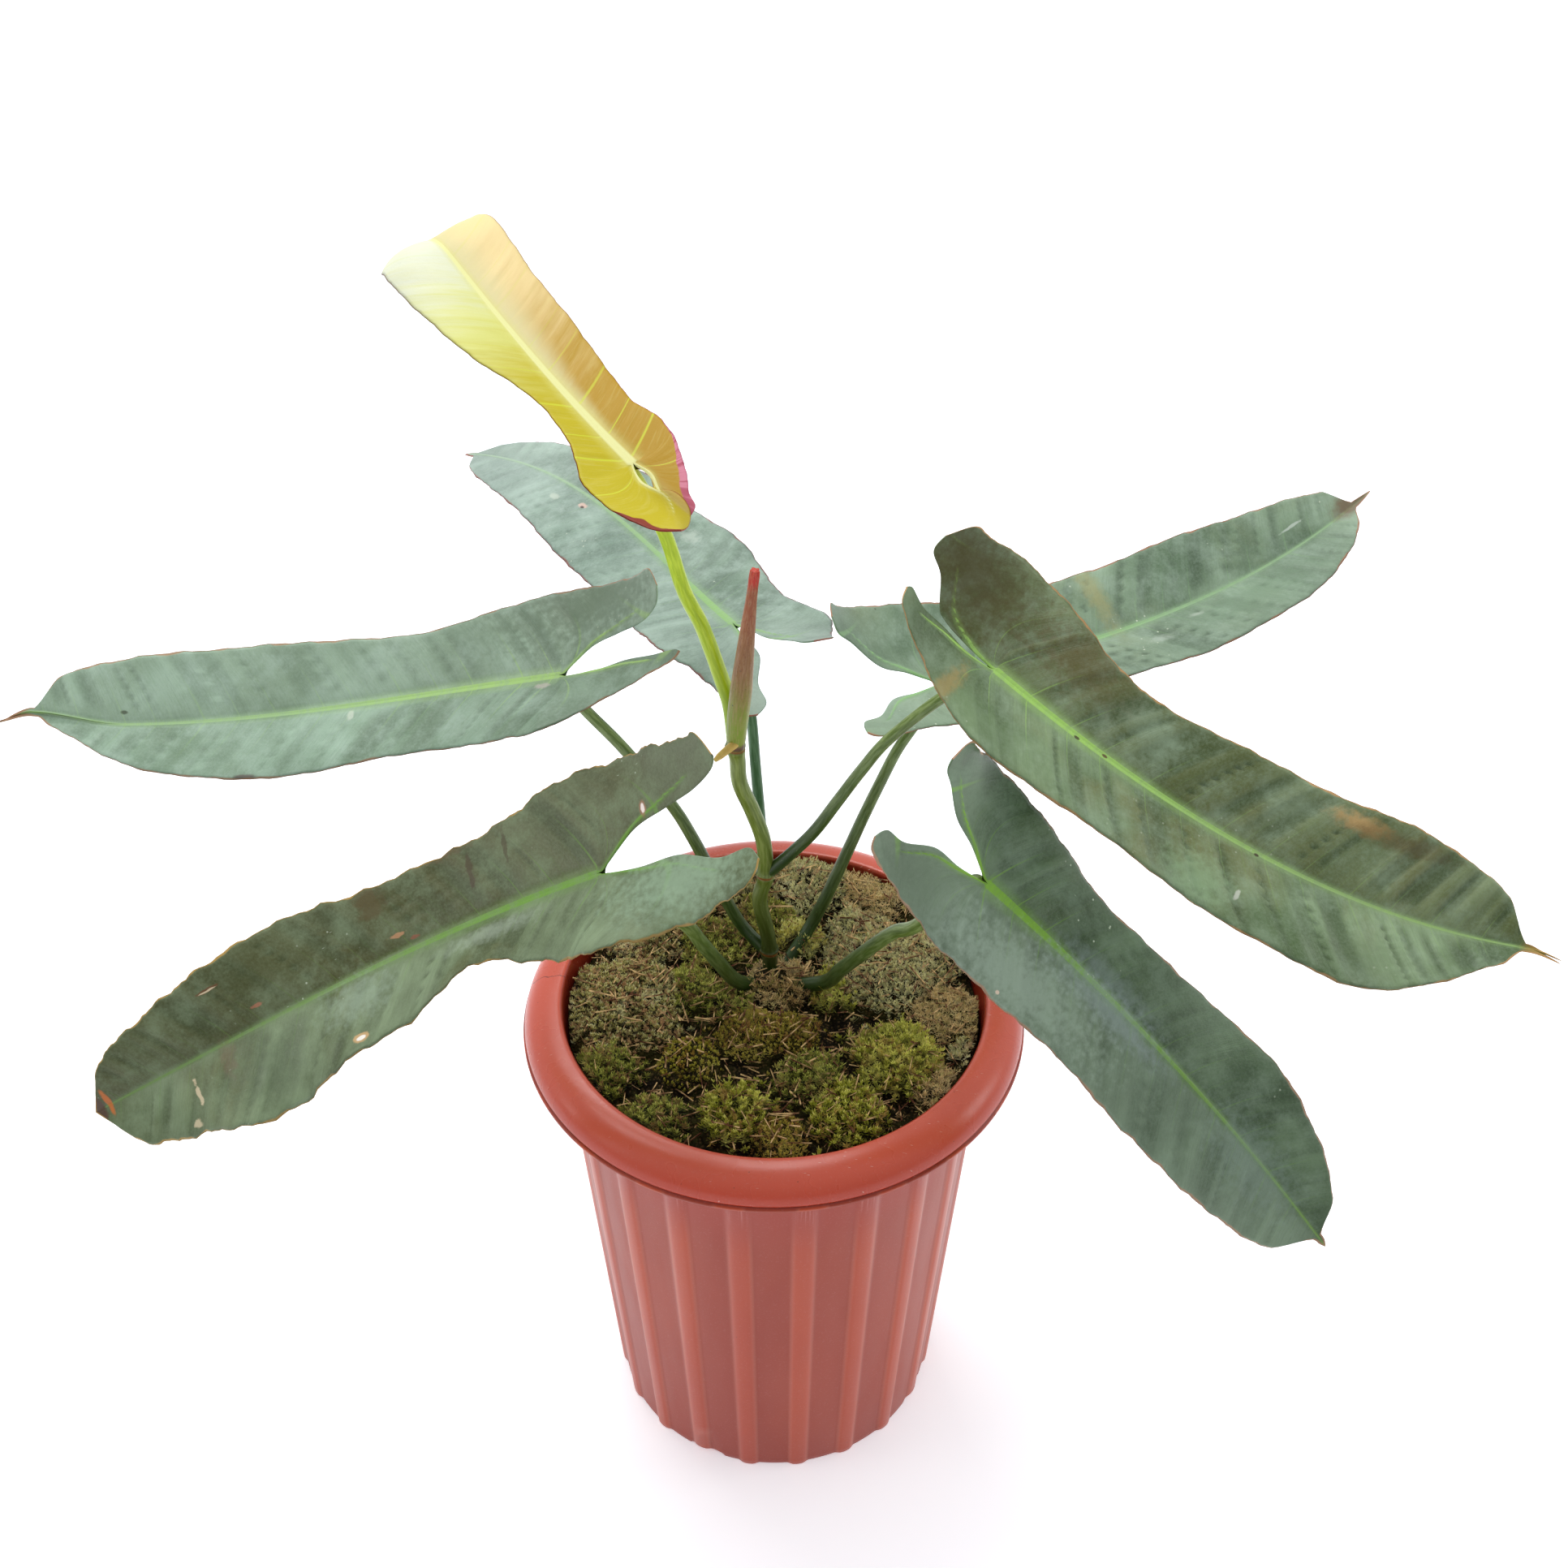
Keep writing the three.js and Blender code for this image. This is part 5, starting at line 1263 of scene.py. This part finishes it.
def pot_paint():
    """Red plastic: smooth ribs, duller panels, painted light and shade, scratches, a crack and specks."""
    f = Finish("pot_plastic", Specular_IOR_Level=0.5)
    place = f.place()
    x, y, height = f.parts(place)
    flute, turned = f.carried("flute", "Fac"), f.carried("turned", "Fac")
    on_flute = f.stretch(flute, 0.1, 0.6)
    tone = f.stretch(f.noise(f.place((1, 1, 0.3)), 16, 3), 0.35, 0.7)
    panel, rib = f.blend(tone, (158, 67, 50), (168, 76, 58)), f.blend(tone, (178, 74, 48), (188, 82, 54))
    f.colour = f.mix(on_flute, panel, rib)
    # painted highlight: a pale line along the edges of each rib
    f.coat(f.times(f.stretch(flute, 0.02, 0.2), f.stretch(flute, 0.3, 0.75, 0.16, 0)), (214, 136, 114))
    # the rim, painted lighter at its crest and darker towards the flange as painted light and shade, and
    # painted shade in the groove under its roll and on the inside wall
    radius = f.maths("SQRT", f.plus(f.times(x, x), f.times(y, y)))
    on_rim = f.stretch(height, 0.2712, 0.2722)
    f.coat(on_rim, f.blend(f.stretch(height, 0.272, 0.284), (187, 70, 48), (206, 96, 78)))
    f.stain(f.near(height, 0.2721, 0.0002, 0.0006, 0.6), (120, 40, 28))
    f.stain(f.times(f.stretch(radius, 0.1096, 0.1106, 1, 0), f.stretch(height, 0.2, 0.25)), (162, 52, 32))
    # scratches on parts of the rim
    scratches = f.dots(f.slanted(place, (0.5, 0.3, 0.6), 6), 120, 0.06, 0.11, 0.7)
    scratched = f.times(f.stretch(f.noise(place, 22, 2), 0.45, 0.56), on_rim)
    f.stain(f.times(scratches, scratched), (226, 176, 164))
    # painted reflections on the ribs under the flange
    f.stain(painted_rib_reflections(f, flute, turned, height), (232, 170, 158))
    # painted sheen: a fine pale mottle over the plastic
    f.stain(f.stretch(f.noise(place, 900, 3), 0.55, 0.75, 0, 0.1), (214, 160, 150))
    specked = f.stretch(f.noise(place, 30, 1), 0.55, 0.65)
    f.stain(f.times(f.dots(place, 210, 0.04, 0.09, 0.75), specked), (86, 44, 30))
    # the crack runs across the roll at one bearing and wanders a little
    wandering = f.plus(turned, f.times(f.minus(f.noise(place, 150, 3), 0.5), 2.2))
    crack = f.times(f.near(wandering, CRACK_BEARING, 0.05, 0.13, 0.9), f.stretch(radius, 0.109, 0.1095))
    f.stain(f.times(crack, on_rim), (52, 16, 12))
    # ribs and rim are smoother than the panels
    patchy = f.noise(f.place((1, 1, 0.2)), 45, 3)
    rough = f.mix(on_flute, f.stretch(patchy, 0.35, 0.7, 0.38, 0.46), f.stretch(patchy, 0.35, 0.7, 0.3, 0.36))
    rough = f.mix(on_rim, rough, f.stretch(patchy, 0.35, 0.7, 0.26, 0.33))
    return f.done(rough, f.bumped(f.noise(place, 1300, 2), 0.0001, 0.3))


pot = mesh_piece("pot_fine", pot_points, [pot_skin, pot_ends], [pot_paint()] * 2, on_pot)
stands_for(sealed(pot), "pot")

# %% [markdown]
# ## The bed of moss
# The soil is hidden by living moss: low cushions of several kinds that have grown into each other, with
# dark gaps, straw and bits of stick between them. A bumpy lid alone would look like felt. So there are two
# layers. The ground is a low dome with a mound for each cushion and lumps on it. Thousands of small shoots
# stand on it, each a short stem with leaflets all round, all worked out together as arrays. A table says
# where each cushion lies, how wide and high it is, and of which kind of moss.

# %% Moss ground
MOSS_EDGE, MOSS_DOME, MOSS_BACK, MOSS_LEVEL = 273.0, 9.0, 6.0, 275.0
MOSS_REACH = (POT["foot"] + (POT["shoulder"] - POT["foot"]) * MOSS_LEVEL / (POT["height"] - POT["drop"])
              - POT["wall"])
GROUND_RINGS, GROUND_SECTORS, GROUND_FOOT = 90, 220, 267.0
MOUNDS = [
    (-79, 0, 34, 11, "cushion"), (-44, 9, 19, 6, "star"), (14, 88, 28, 10, "cushion"), (53, 80, 20, 8, "dry"),
    (58, 24, 34, 12, "cushion"), (90, -6, 21, 8, "dry"), (3, 9, 19, 9, "dry"), (-12, -26, 18, 9, "olive"),
    (9, -26, 15, 10, "olive"), (-43, -43, 17, 11, "rosette"), (-87, -45, 20, 7, "star"),
    (-61, -80, 19, 7, "star"), (-19, -77, 18, 9, "bright"), (3, -91, 14, 9, "olive"),
    (37, -77, 20, 10, "bright"), (62, -41, 23, 12, "bright"), (32, 6, 15, 8, "bright"),
    (82, -59, 17, 8, "dry"), (14, 42, 13, 9, "tuft"), (-32, 42, 20, 7, "star"), (-22, -3, 14, 6, "star"),
    (19, -54, 17, 9, "star"), (-28, 80, 20, 8, "cushion"), (-66, 52, 26, 8, "cushion"),
    (-98, 18, 14, 7, "cushion"), (88, 42, 22, 8, "cushion"), (-62, -20, 16, 8, "cushion"),
    (-2, 62, 18, 7, "star"), (46, 52, 18, 9, "cushion"), (100, -32, 12, 6, "cushion"),
]


def moss_mounds(x, y):
    """Height of a dome with round mounds on it, the mound that each point belongs to, and its own rise.

    The dome stands a little higher at the back. A mound of radius r and rise h stands h * sqrt(1 - (d/r)^2)
    above the dome at distance d from its centre.
    """
    dome = MOSS_EDGE + MOSS_DOME * (1 - (x**2 + y**2) / MOSS_REACH**2) + MOSS_BACK * smooth_step(y, 30, 100)
    place = np.array([mound[:4] for mound in MOUNDS], float)
    away = np.hypot(x[..., None] - place[:, 0], y[..., None] - place[:, 1]) / place[:, 2]
    mounds = place[:, 3] * np.sqrt(np.clip(1 - away**2, 0, 1))
    rise = mounds.max(-1)
    return dome + rise, np.where(rise > 0, mounds.argmax(-1), away.argmin(-1)), rise


def lumps(x, y, scale, seed):
    """Smooth pseudo-random waves: a sum of seven sines in random directions, between about -1 and 1."""
    rng = np.random.default_rng(seed)
    turn, phase = rng.uniform(0, 2 * np.pi, 7), rng.uniform(0, 2 * np.pi, 7)
    pitch = rng.uniform(0.6, 1.7, 7)
    wave = (x[..., None] * np.cos(turn) + y[..., None] * np.sin(turn)) * pitch / scale + phase
    return np.sin(wave).sum(-1) / 3.2


def moss_ground(x, y):
    """The ground under the shoots, a little below the mounds and lumpy, and the mounds' own rise."""
    height, _, rise = moss_mounds(x, y)
    return height - 2.0 + 1.3 * lumps(x, y, 3.4, 11) + 0.5 * lumps(x, y, 1.3, 12), rise


ring_reach = (MOSS_REACH - 0.6) * np.linspace(1.0, 0.004, GROUND_RINGS)[:, None]
sector = 2 * np.pi * np.arange(GROUND_SECTORS) / GROUND_SECTORS
ground_x, ground_y = ring_reach * np.cos(sector), ring_reach * np.sin(sector)
lid = np.stack([ground_x, ground_y, moss_ground(ground_x, ground_y)[0]], -1)
skirt = np.stack([ground_x[0], ground_y[0], np.full(GROUND_SECTORS, GROUND_FOOT)], -1)
ground_points = np.concatenate([skirt, lid.reshape(-1, 3), [[0, 0, GROUND_FOOT]], [lid[-1].mean(0)]])
ground_faces = grid_faces(GROUND_RINGS + 1, GROUND_SECTORS, around=True)
ground_ends = np.concatenate([
    fan_faces(len(ground_points) - 2, np.arange(GROUND_SECTORS), flip=True),
    fan_faces(len(ground_points) - 1, np.arange(GROUND_SECTORS) + GROUND_RINGS * GROUND_SECTORS)])


def moss_ground_paint():
    """Dark peat with olive growth in clouds and paler crumbs."""
    f = Finish("moss_ground", Roughness=0.95, Specular_IOR_Level=0.15)
    clouds, crumbs = f.noise(f.place(), 70, 5, 0.65), f.cells(f.place(), 520)
    f.colour = f.blend(f.stretch(clouds, 0.4, 0.65), (26, 19, 11), (60, 56, 24), 0)
    f.stain(f.stretch(crumbs, 0.1, 0.5, 0.6, 0), (112, 88, 56))
    return f.done(normal=f.bumped(f.plus(crumbs, clouds), 0.002, 0.9))


ground = mesh_piece("moss_ground", ground_points, [ground_faces, ground_ends], [moss_ground_paint()] * 2)
stands_for(sealed(ground), "moss_carpet")

# %% [markdown]
# ### Moss shoots
# A shoot is a short stem with whorls of pointed leaflets that get shorter and steeper towards its tip.
# Building one and copying it thousands of times would make every cushion look the same, so height, lean,
# bend and tint are drawn for each shoot from a seeded generator. A leaflet is a closed sliver of four
# triangles, with a keel underneath.

# %% Shoots as arrays
def shoot_mesh(roots, heights, kind, seed):
    """All leaflets of all shoots of one kind.

    The stem point at share s of the way up is root + s * height * up + s^2 * bend * lean. A leaflet there
    points out at its own turn, raised by an angle that grows towards the tip. Its four corners are its base,
    its tip and the two sides of its middle, which lie lower, so that they span a thin closed wedge.
    """
    rng = np.random.default_rng(seed)
    count, tiers, whorl = len(roots), kind["tiers"], kind["whorl"]
    shape = (count, tiers, whorl)
    share = (np.arange(tiers) + 0.7) / tiers
    turn = np.arange(whorl)[None, :] / whorl + 0.5 * (np.arange(tiers)[:, None] % 2) / whorl
    turn = 2 * np.pi * turn[None] + rng.uniform(0, 2 * np.pi, (count, 1, 1)) + rng.normal(0, 0.25, shape)
    lean = arrows(rng.uniform(0, 2 * np.pi, count), np.zeros(count))
    bends = rng.uniform(*kind["bend"], count) * heights
    up = np.array([0, 0, 1.0])
    stem = (roots[:, None] + (share[None, :] * heights[:, None])[..., None] * up
            + (share[None, :] ** 2 * bends[:, None])[..., None] * lean[:, None])
    size = kind["length"] * (1.1 - 0.55 * share)[None, :, None] * rng.uniform(0.7, 1.25, shape)
    low, high = kind["rise"]
    rise = (low + (high - low) * share)[None, :, None] + rng.normal(0, 0.16, shape)
    out = arrows(turn, rise) + 0.35 * (bends / heights)[:, None, None, None] * lean[:, None, None]
    aside = np.stack([-np.sin(turn), np.cos(turn), 0 * turn], -1)
    base = np.repeat(stem[:, :, None, :], whorl, 2)
    half = 0.5 * kind["width"] * (size / kind["length"])[..., None]
    middle = base + out * (0.42 * size)[..., None] - up * (0.5 * half)
    corners = np.stack([base, middle - aside * half, base + out * size[..., None], middle + aside * half], 3)
    tint = np.broadcast_to(rng.uniform(0, 1, (count, 1, 1, 1)), (*shape, 4)).reshape(-1)
    # age runs from the foot of a shoot to its tip, and along each leaflet
    age = np.broadcast_to(share[None, :, None, None], (*shape, 4)) + np.array([-0.25, 0.0, 0.3, 0.0])
    first = np.arange(count * tiers * whorl)[:, None] * 4
    faces = np.concatenate([first + corner for corner in ([0, 1, 2], [0, 2, 3], [0, 3, 1], [1, 3, 2])])
    return corners.reshape(-1, 3), faces, np.stack([tint, age.reshape(-1), 0 * tint], -1)


def scattered(spacing, seed, jitter=0.38):
    """Places on a hexagonal lattice over the moss disc, each pushed by up to jitter times the spacing."""
    rng = np.random.default_rng(seed)
    steps = np.arange(-int(MOSS_REACH / spacing) - 2, int(MOSS_REACH / spacing) + 3)
    column, row = np.meshgrid(steps, np.arange(steps[0] * 2, steps[-1] * 2))
    x = (column + 0.5 * (row % 2)) * spacing + rng.uniform(-jitter, jitter, column.shape) * spacing
    y = row * spacing * 0.866 + rng.uniform(-jitter, jitter, column.shape) * spacing
    inside = np.hypot(x, y) < MOSS_REACH - 1.8
    return x[inside], y[inside], rng


def moss_paint(name, dark, light, tip, dry):
    """Leaflets: dark at the foot of a shoot, light at its tip, and dry on some shoots."""
    f = Finish(name, Roughness=0.55, Specular_IOR_Level=0.3)
    place = f.place()
    x, y, _ = f.parts(place)
    tint, age, _ = f.parts(f.carried("shoot"))
    f.colour = f.blend(f.stretch(age, 0.15, 0.7), scaled(dark, 0.62), light, 0)
    f.stain(f.stretch(age, 0.75, 1.2), tip)
    f.stain(f.stretch(tint, 0.66, 0.9, 0, 0.85), dry)
    # darker and paler patches, and painted light: the shoots towards the right and the back are painted paler
    f.stain(f.stretch(f.noise(place, 90, 3), 0.5, 0.68, 0, 0.4), dark)
    f.stain(f.stretch(f.noise(place, 55, 2), 0.5, 0.68, 0, 0.5), tip)
    f.stain(f.stretch(f.plus(x, f.times(y, 0.6)), 0.0, 0.075, 0, 0.32), tip)
    return f.done()


MOSSES = {
    "cushion": {"spacing": 2.3, "height": (2.8, 5.0), "length": 2.8, "width": 0.85, "tiers": 3, "whorl": 5,
                "rise": (0.45, 1.2), "bend": (0.0, 0.8),
                "paint": ((92, 80, 40), (190, 180, 108), (252, 246, 200), (190, 144, 106))},
    "star": {"spacing": 2.6, "height": (4.0, 7.5), "length": 3.6, "width": 1.0, "tiers": 4, "whorl": 5,
             "rise": (0.2, 1.1), "bend": (0.1, 0.8),
             "paint": ((54, 56, 18), (128, 132, 46), (222, 218, 116), (150, 112, 70))},
    "bright": {"spacing": 2.7, "height": (4.5, 8.5), "length": 3.8, "width": 1.1, "tiers": 5, "whorl": 5,
               "rise": (0.2, 1.15), "bend": (0.1, 0.8),
               "paint": ((62, 62, 12), (156, 156, 40), (246, 240, 132), (176, 138, 74))},
    "dry": {"spacing": 2.3, "height": (3.0, 5.8), "length": 3.2, "width": 0.75, "tiers": 4, "whorl": 4,
            "rise": (0.2, 1.1), "bend": (0.3, 1.3),
            "paint": ((90, 64, 38), (192, 156, 100), (244, 220, 166), (160, 150, 76))},
    "olive": {"spacing": 1.9, "height": (2.6, 4.8), "length": 2.5, "width": 0.75, "tiers": 3, "whorl": 5,
              "rise": (0.4, 1.25), "bend": (0.0, 0.5),
              "paint": ((78, 64, 18), (170, 152, 56), (230, 214, 112), (160, 108, 62))},
    "rosette": {"spacing": 2.3, "height": (2.0, 3.0), "length": 1.8, "width": 1.3, "tiers": 3, "whorl": 5,
                "rise": (0.5, 1.3), "bend": (0.0, 0.3),
                "paint": ((80, 68, 14), (180, 168, 54), (226, 218, 112), (166, 126, 56))},
    "tuft": {"spacing": 2.1, "height": (5.0, 9.0), "length": 3.6, "width": 0.85, "tiers": 4, "whorl": 5,
             "rise": (0.5, 1.3), "bend": (0.1, 0.8),
             "paint": ((120, 108, 30), (216, 206, 96), (255, 250, 186), (214, 196, 104))},
}
# no shoot grows within these circles, x, y and radius, where the stem and the stalks come up
CLEAR_OF = np.array([(-2, 19, 5), (3, 14, 5), (-5, 15, 5), (10, 33, 5), (-10, 10, 4), (14, 8, 4)], float)

for rank, (name, kind) in enumerate(MOSSES.items()):
    x, y, rng = scattered(kind["spacing"], 40 + rank)
    # the border between two cushions is ragged
    owner = moss_mounds(x + 2.4 * lumps(x, y, 4.0, 70), y + 2.4 * lumps(x, y, 4.0, 71))[1]
    ours = np.array([mound[4] for mound in MOUNDS])[owner] == name
    ours &= ~(np.hypot(x[:, None] - CLEAR_OF[:, 0], y[:, None] - CLEAR_OF[:, 1]) < CLEAR_OF[:, 2]).any(1)
    height, rise = moss_ground(x, y)
    ours &= rng.uniform(0, 1, len(x)) < 0.1 + 0.88 * smooth_step(rise, 0.8, 4.0)
    x, y, height, rise = x[ours], y[ours], height[ours], rise[ours]
    tall = rng.uniform(*kind["height"], len(x)) * (0.6 + 0.4 * smooth_step(rise, 1, 6))
    tall *= 0.95 + 0.3 * lumps(x, y, 4.5, 73)
    points, faces, shoot = shoot_mesh(np.stack([x, y, height - 1.0], -1), tall, kind, 60 + rank)
    # leaflets that would pass through the pot's wall are pushed back to it
    reach = np.hypot(points[:, 0], points[:, 1])
    points[:, :2] *= np.minimum(1, (MOSS_REACH - 0.5) / np.maximum(reach, 1e-6))[:, None]
    finish = moss_paint("moss_" + name, *kind["paint"])
    cushion = mesh_piece("moss_" + name, points, [faces], [finish], {"shoot": shoot}, smooth=False)
    stands_for(cushion, None)

# %% [markdown]
# ### Straw and sticks
# Thin bits of straw, bark and dead stem lie between the cushions. Each is a small three-sided rod with its
# own length, slope and tint. They break up the green and give the eye its scale.

# %% Litter
def rods(centres, directions, lengths, radii):
    """Three-sided rods as arrays: three points at each end of every axis, then side faces and caps."""
    side_axis = np.cross(directions, [0.0, 0.0, 1.0])
    side_axis /= np.linalg.norm(side_axis, axis=1)[:, None]
    other = np.cross(directions, side_axis)
    turn = 2 * np.pi * np.arange(3) / 3
    ring = side_axis[:, None] * np.cos(turn)[None, :, None] + other[:, None] * np.sin(turn)[None, :, None]
    ring = ring * radii[:, None, None]
    half_axis = 0.5 * (lengths[:, None] * directions)[:, None]
    ends = np.stack([ring - half_axis, ring + half_axis], 1) + centres[:, None, None]
    first = np.arange(len(centres))[:, None] * 6
    sides = np.concatenate([first + [j, (j + 1) % 3, 3 + (j + 1) % 3, 3 + j] for j in range(3)])
    return ends.reshape(-1, 3), sides, np.concatenate([first + [0, 2, 1], first + [3, 4, 5]])


straw_x, straw_y, straw_rng = scattered(6.2, 91, 0.9)
straw_z = moss_mounds(straw_x, straw_y)[0]
straw_count = len(straw_x)
straw_turn = straw_rng.uniform(0, 2 * np.pi, straw_count)
straw_direction = arrows(straw_turn, straw_rng.normal(0, 0.22, straw_count))
straw_length = straw_rng.gamma(2.2, 2.6, straw_count) + 2
straw_centre = np.stack([straw_x, straw_y, straw_z + straw_rng.uniform(0.5, 4.2, straw_count)], -1)
straw_radius = straw_rng.uniform(0.15, 0.5, straw_count)
keep = np.hypot(straw_x, straw_y) + straw_length / 2 < MOSS_REACH - 1
straw_points, straw_sides, straw_caps = rods(
    straw_centre[keep], straw_direction[keep], straw_length[keep], straw_radius[keep])


def litter_paint():
    """Brown and straw tints by place, with a fine grain."""
    f = Finish("litter", Roughness=0.8, Specular_IOR_Level=0.2)
    f.colour = f.blend(f.stretch(f.noise(f.place(), 180, 1), 0.35, 0.65), (96, 56, 38), (220, 182, 130), 0)
    return f.done(normal=f.bumped(f.noise(f.place(), 1500, 2), 0.0003, 0.6))


straw_faces = [straw_sides, straw_caps]
litter = mesh_piece("moss_litter", straw_points, straw_faces, [litter_paint()] * 2, smooth=False)
stands_for(litter, None)

# %% [markdown]
# ## The potting mix
# Only a little of it shows, through the drain holes and round the edge. The solid block keeps its shape and
# gets a dark crumbly finish in place of its plain colour.

# %% Potting mix
def mix_paint():
    """Dark crumbs of bark and coir."""
    f = Finish("potting_mix", Roughness=0.95, Specular_IOR_Level=0.15)
    crumbs = f.cells(f.place(), 260)
    f.colour = f.blend(f.stretch(crumbs, 0.1, 0.6), (70, 50, 34), (36, 25, 18), 0)
    return f.done(normal=f.bumped(crumbs, 0.002, 0.9))


mix_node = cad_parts["potting_mix"]
mix_node.data.materials.clear()
mix_node.data.materials.append(mix_paint())
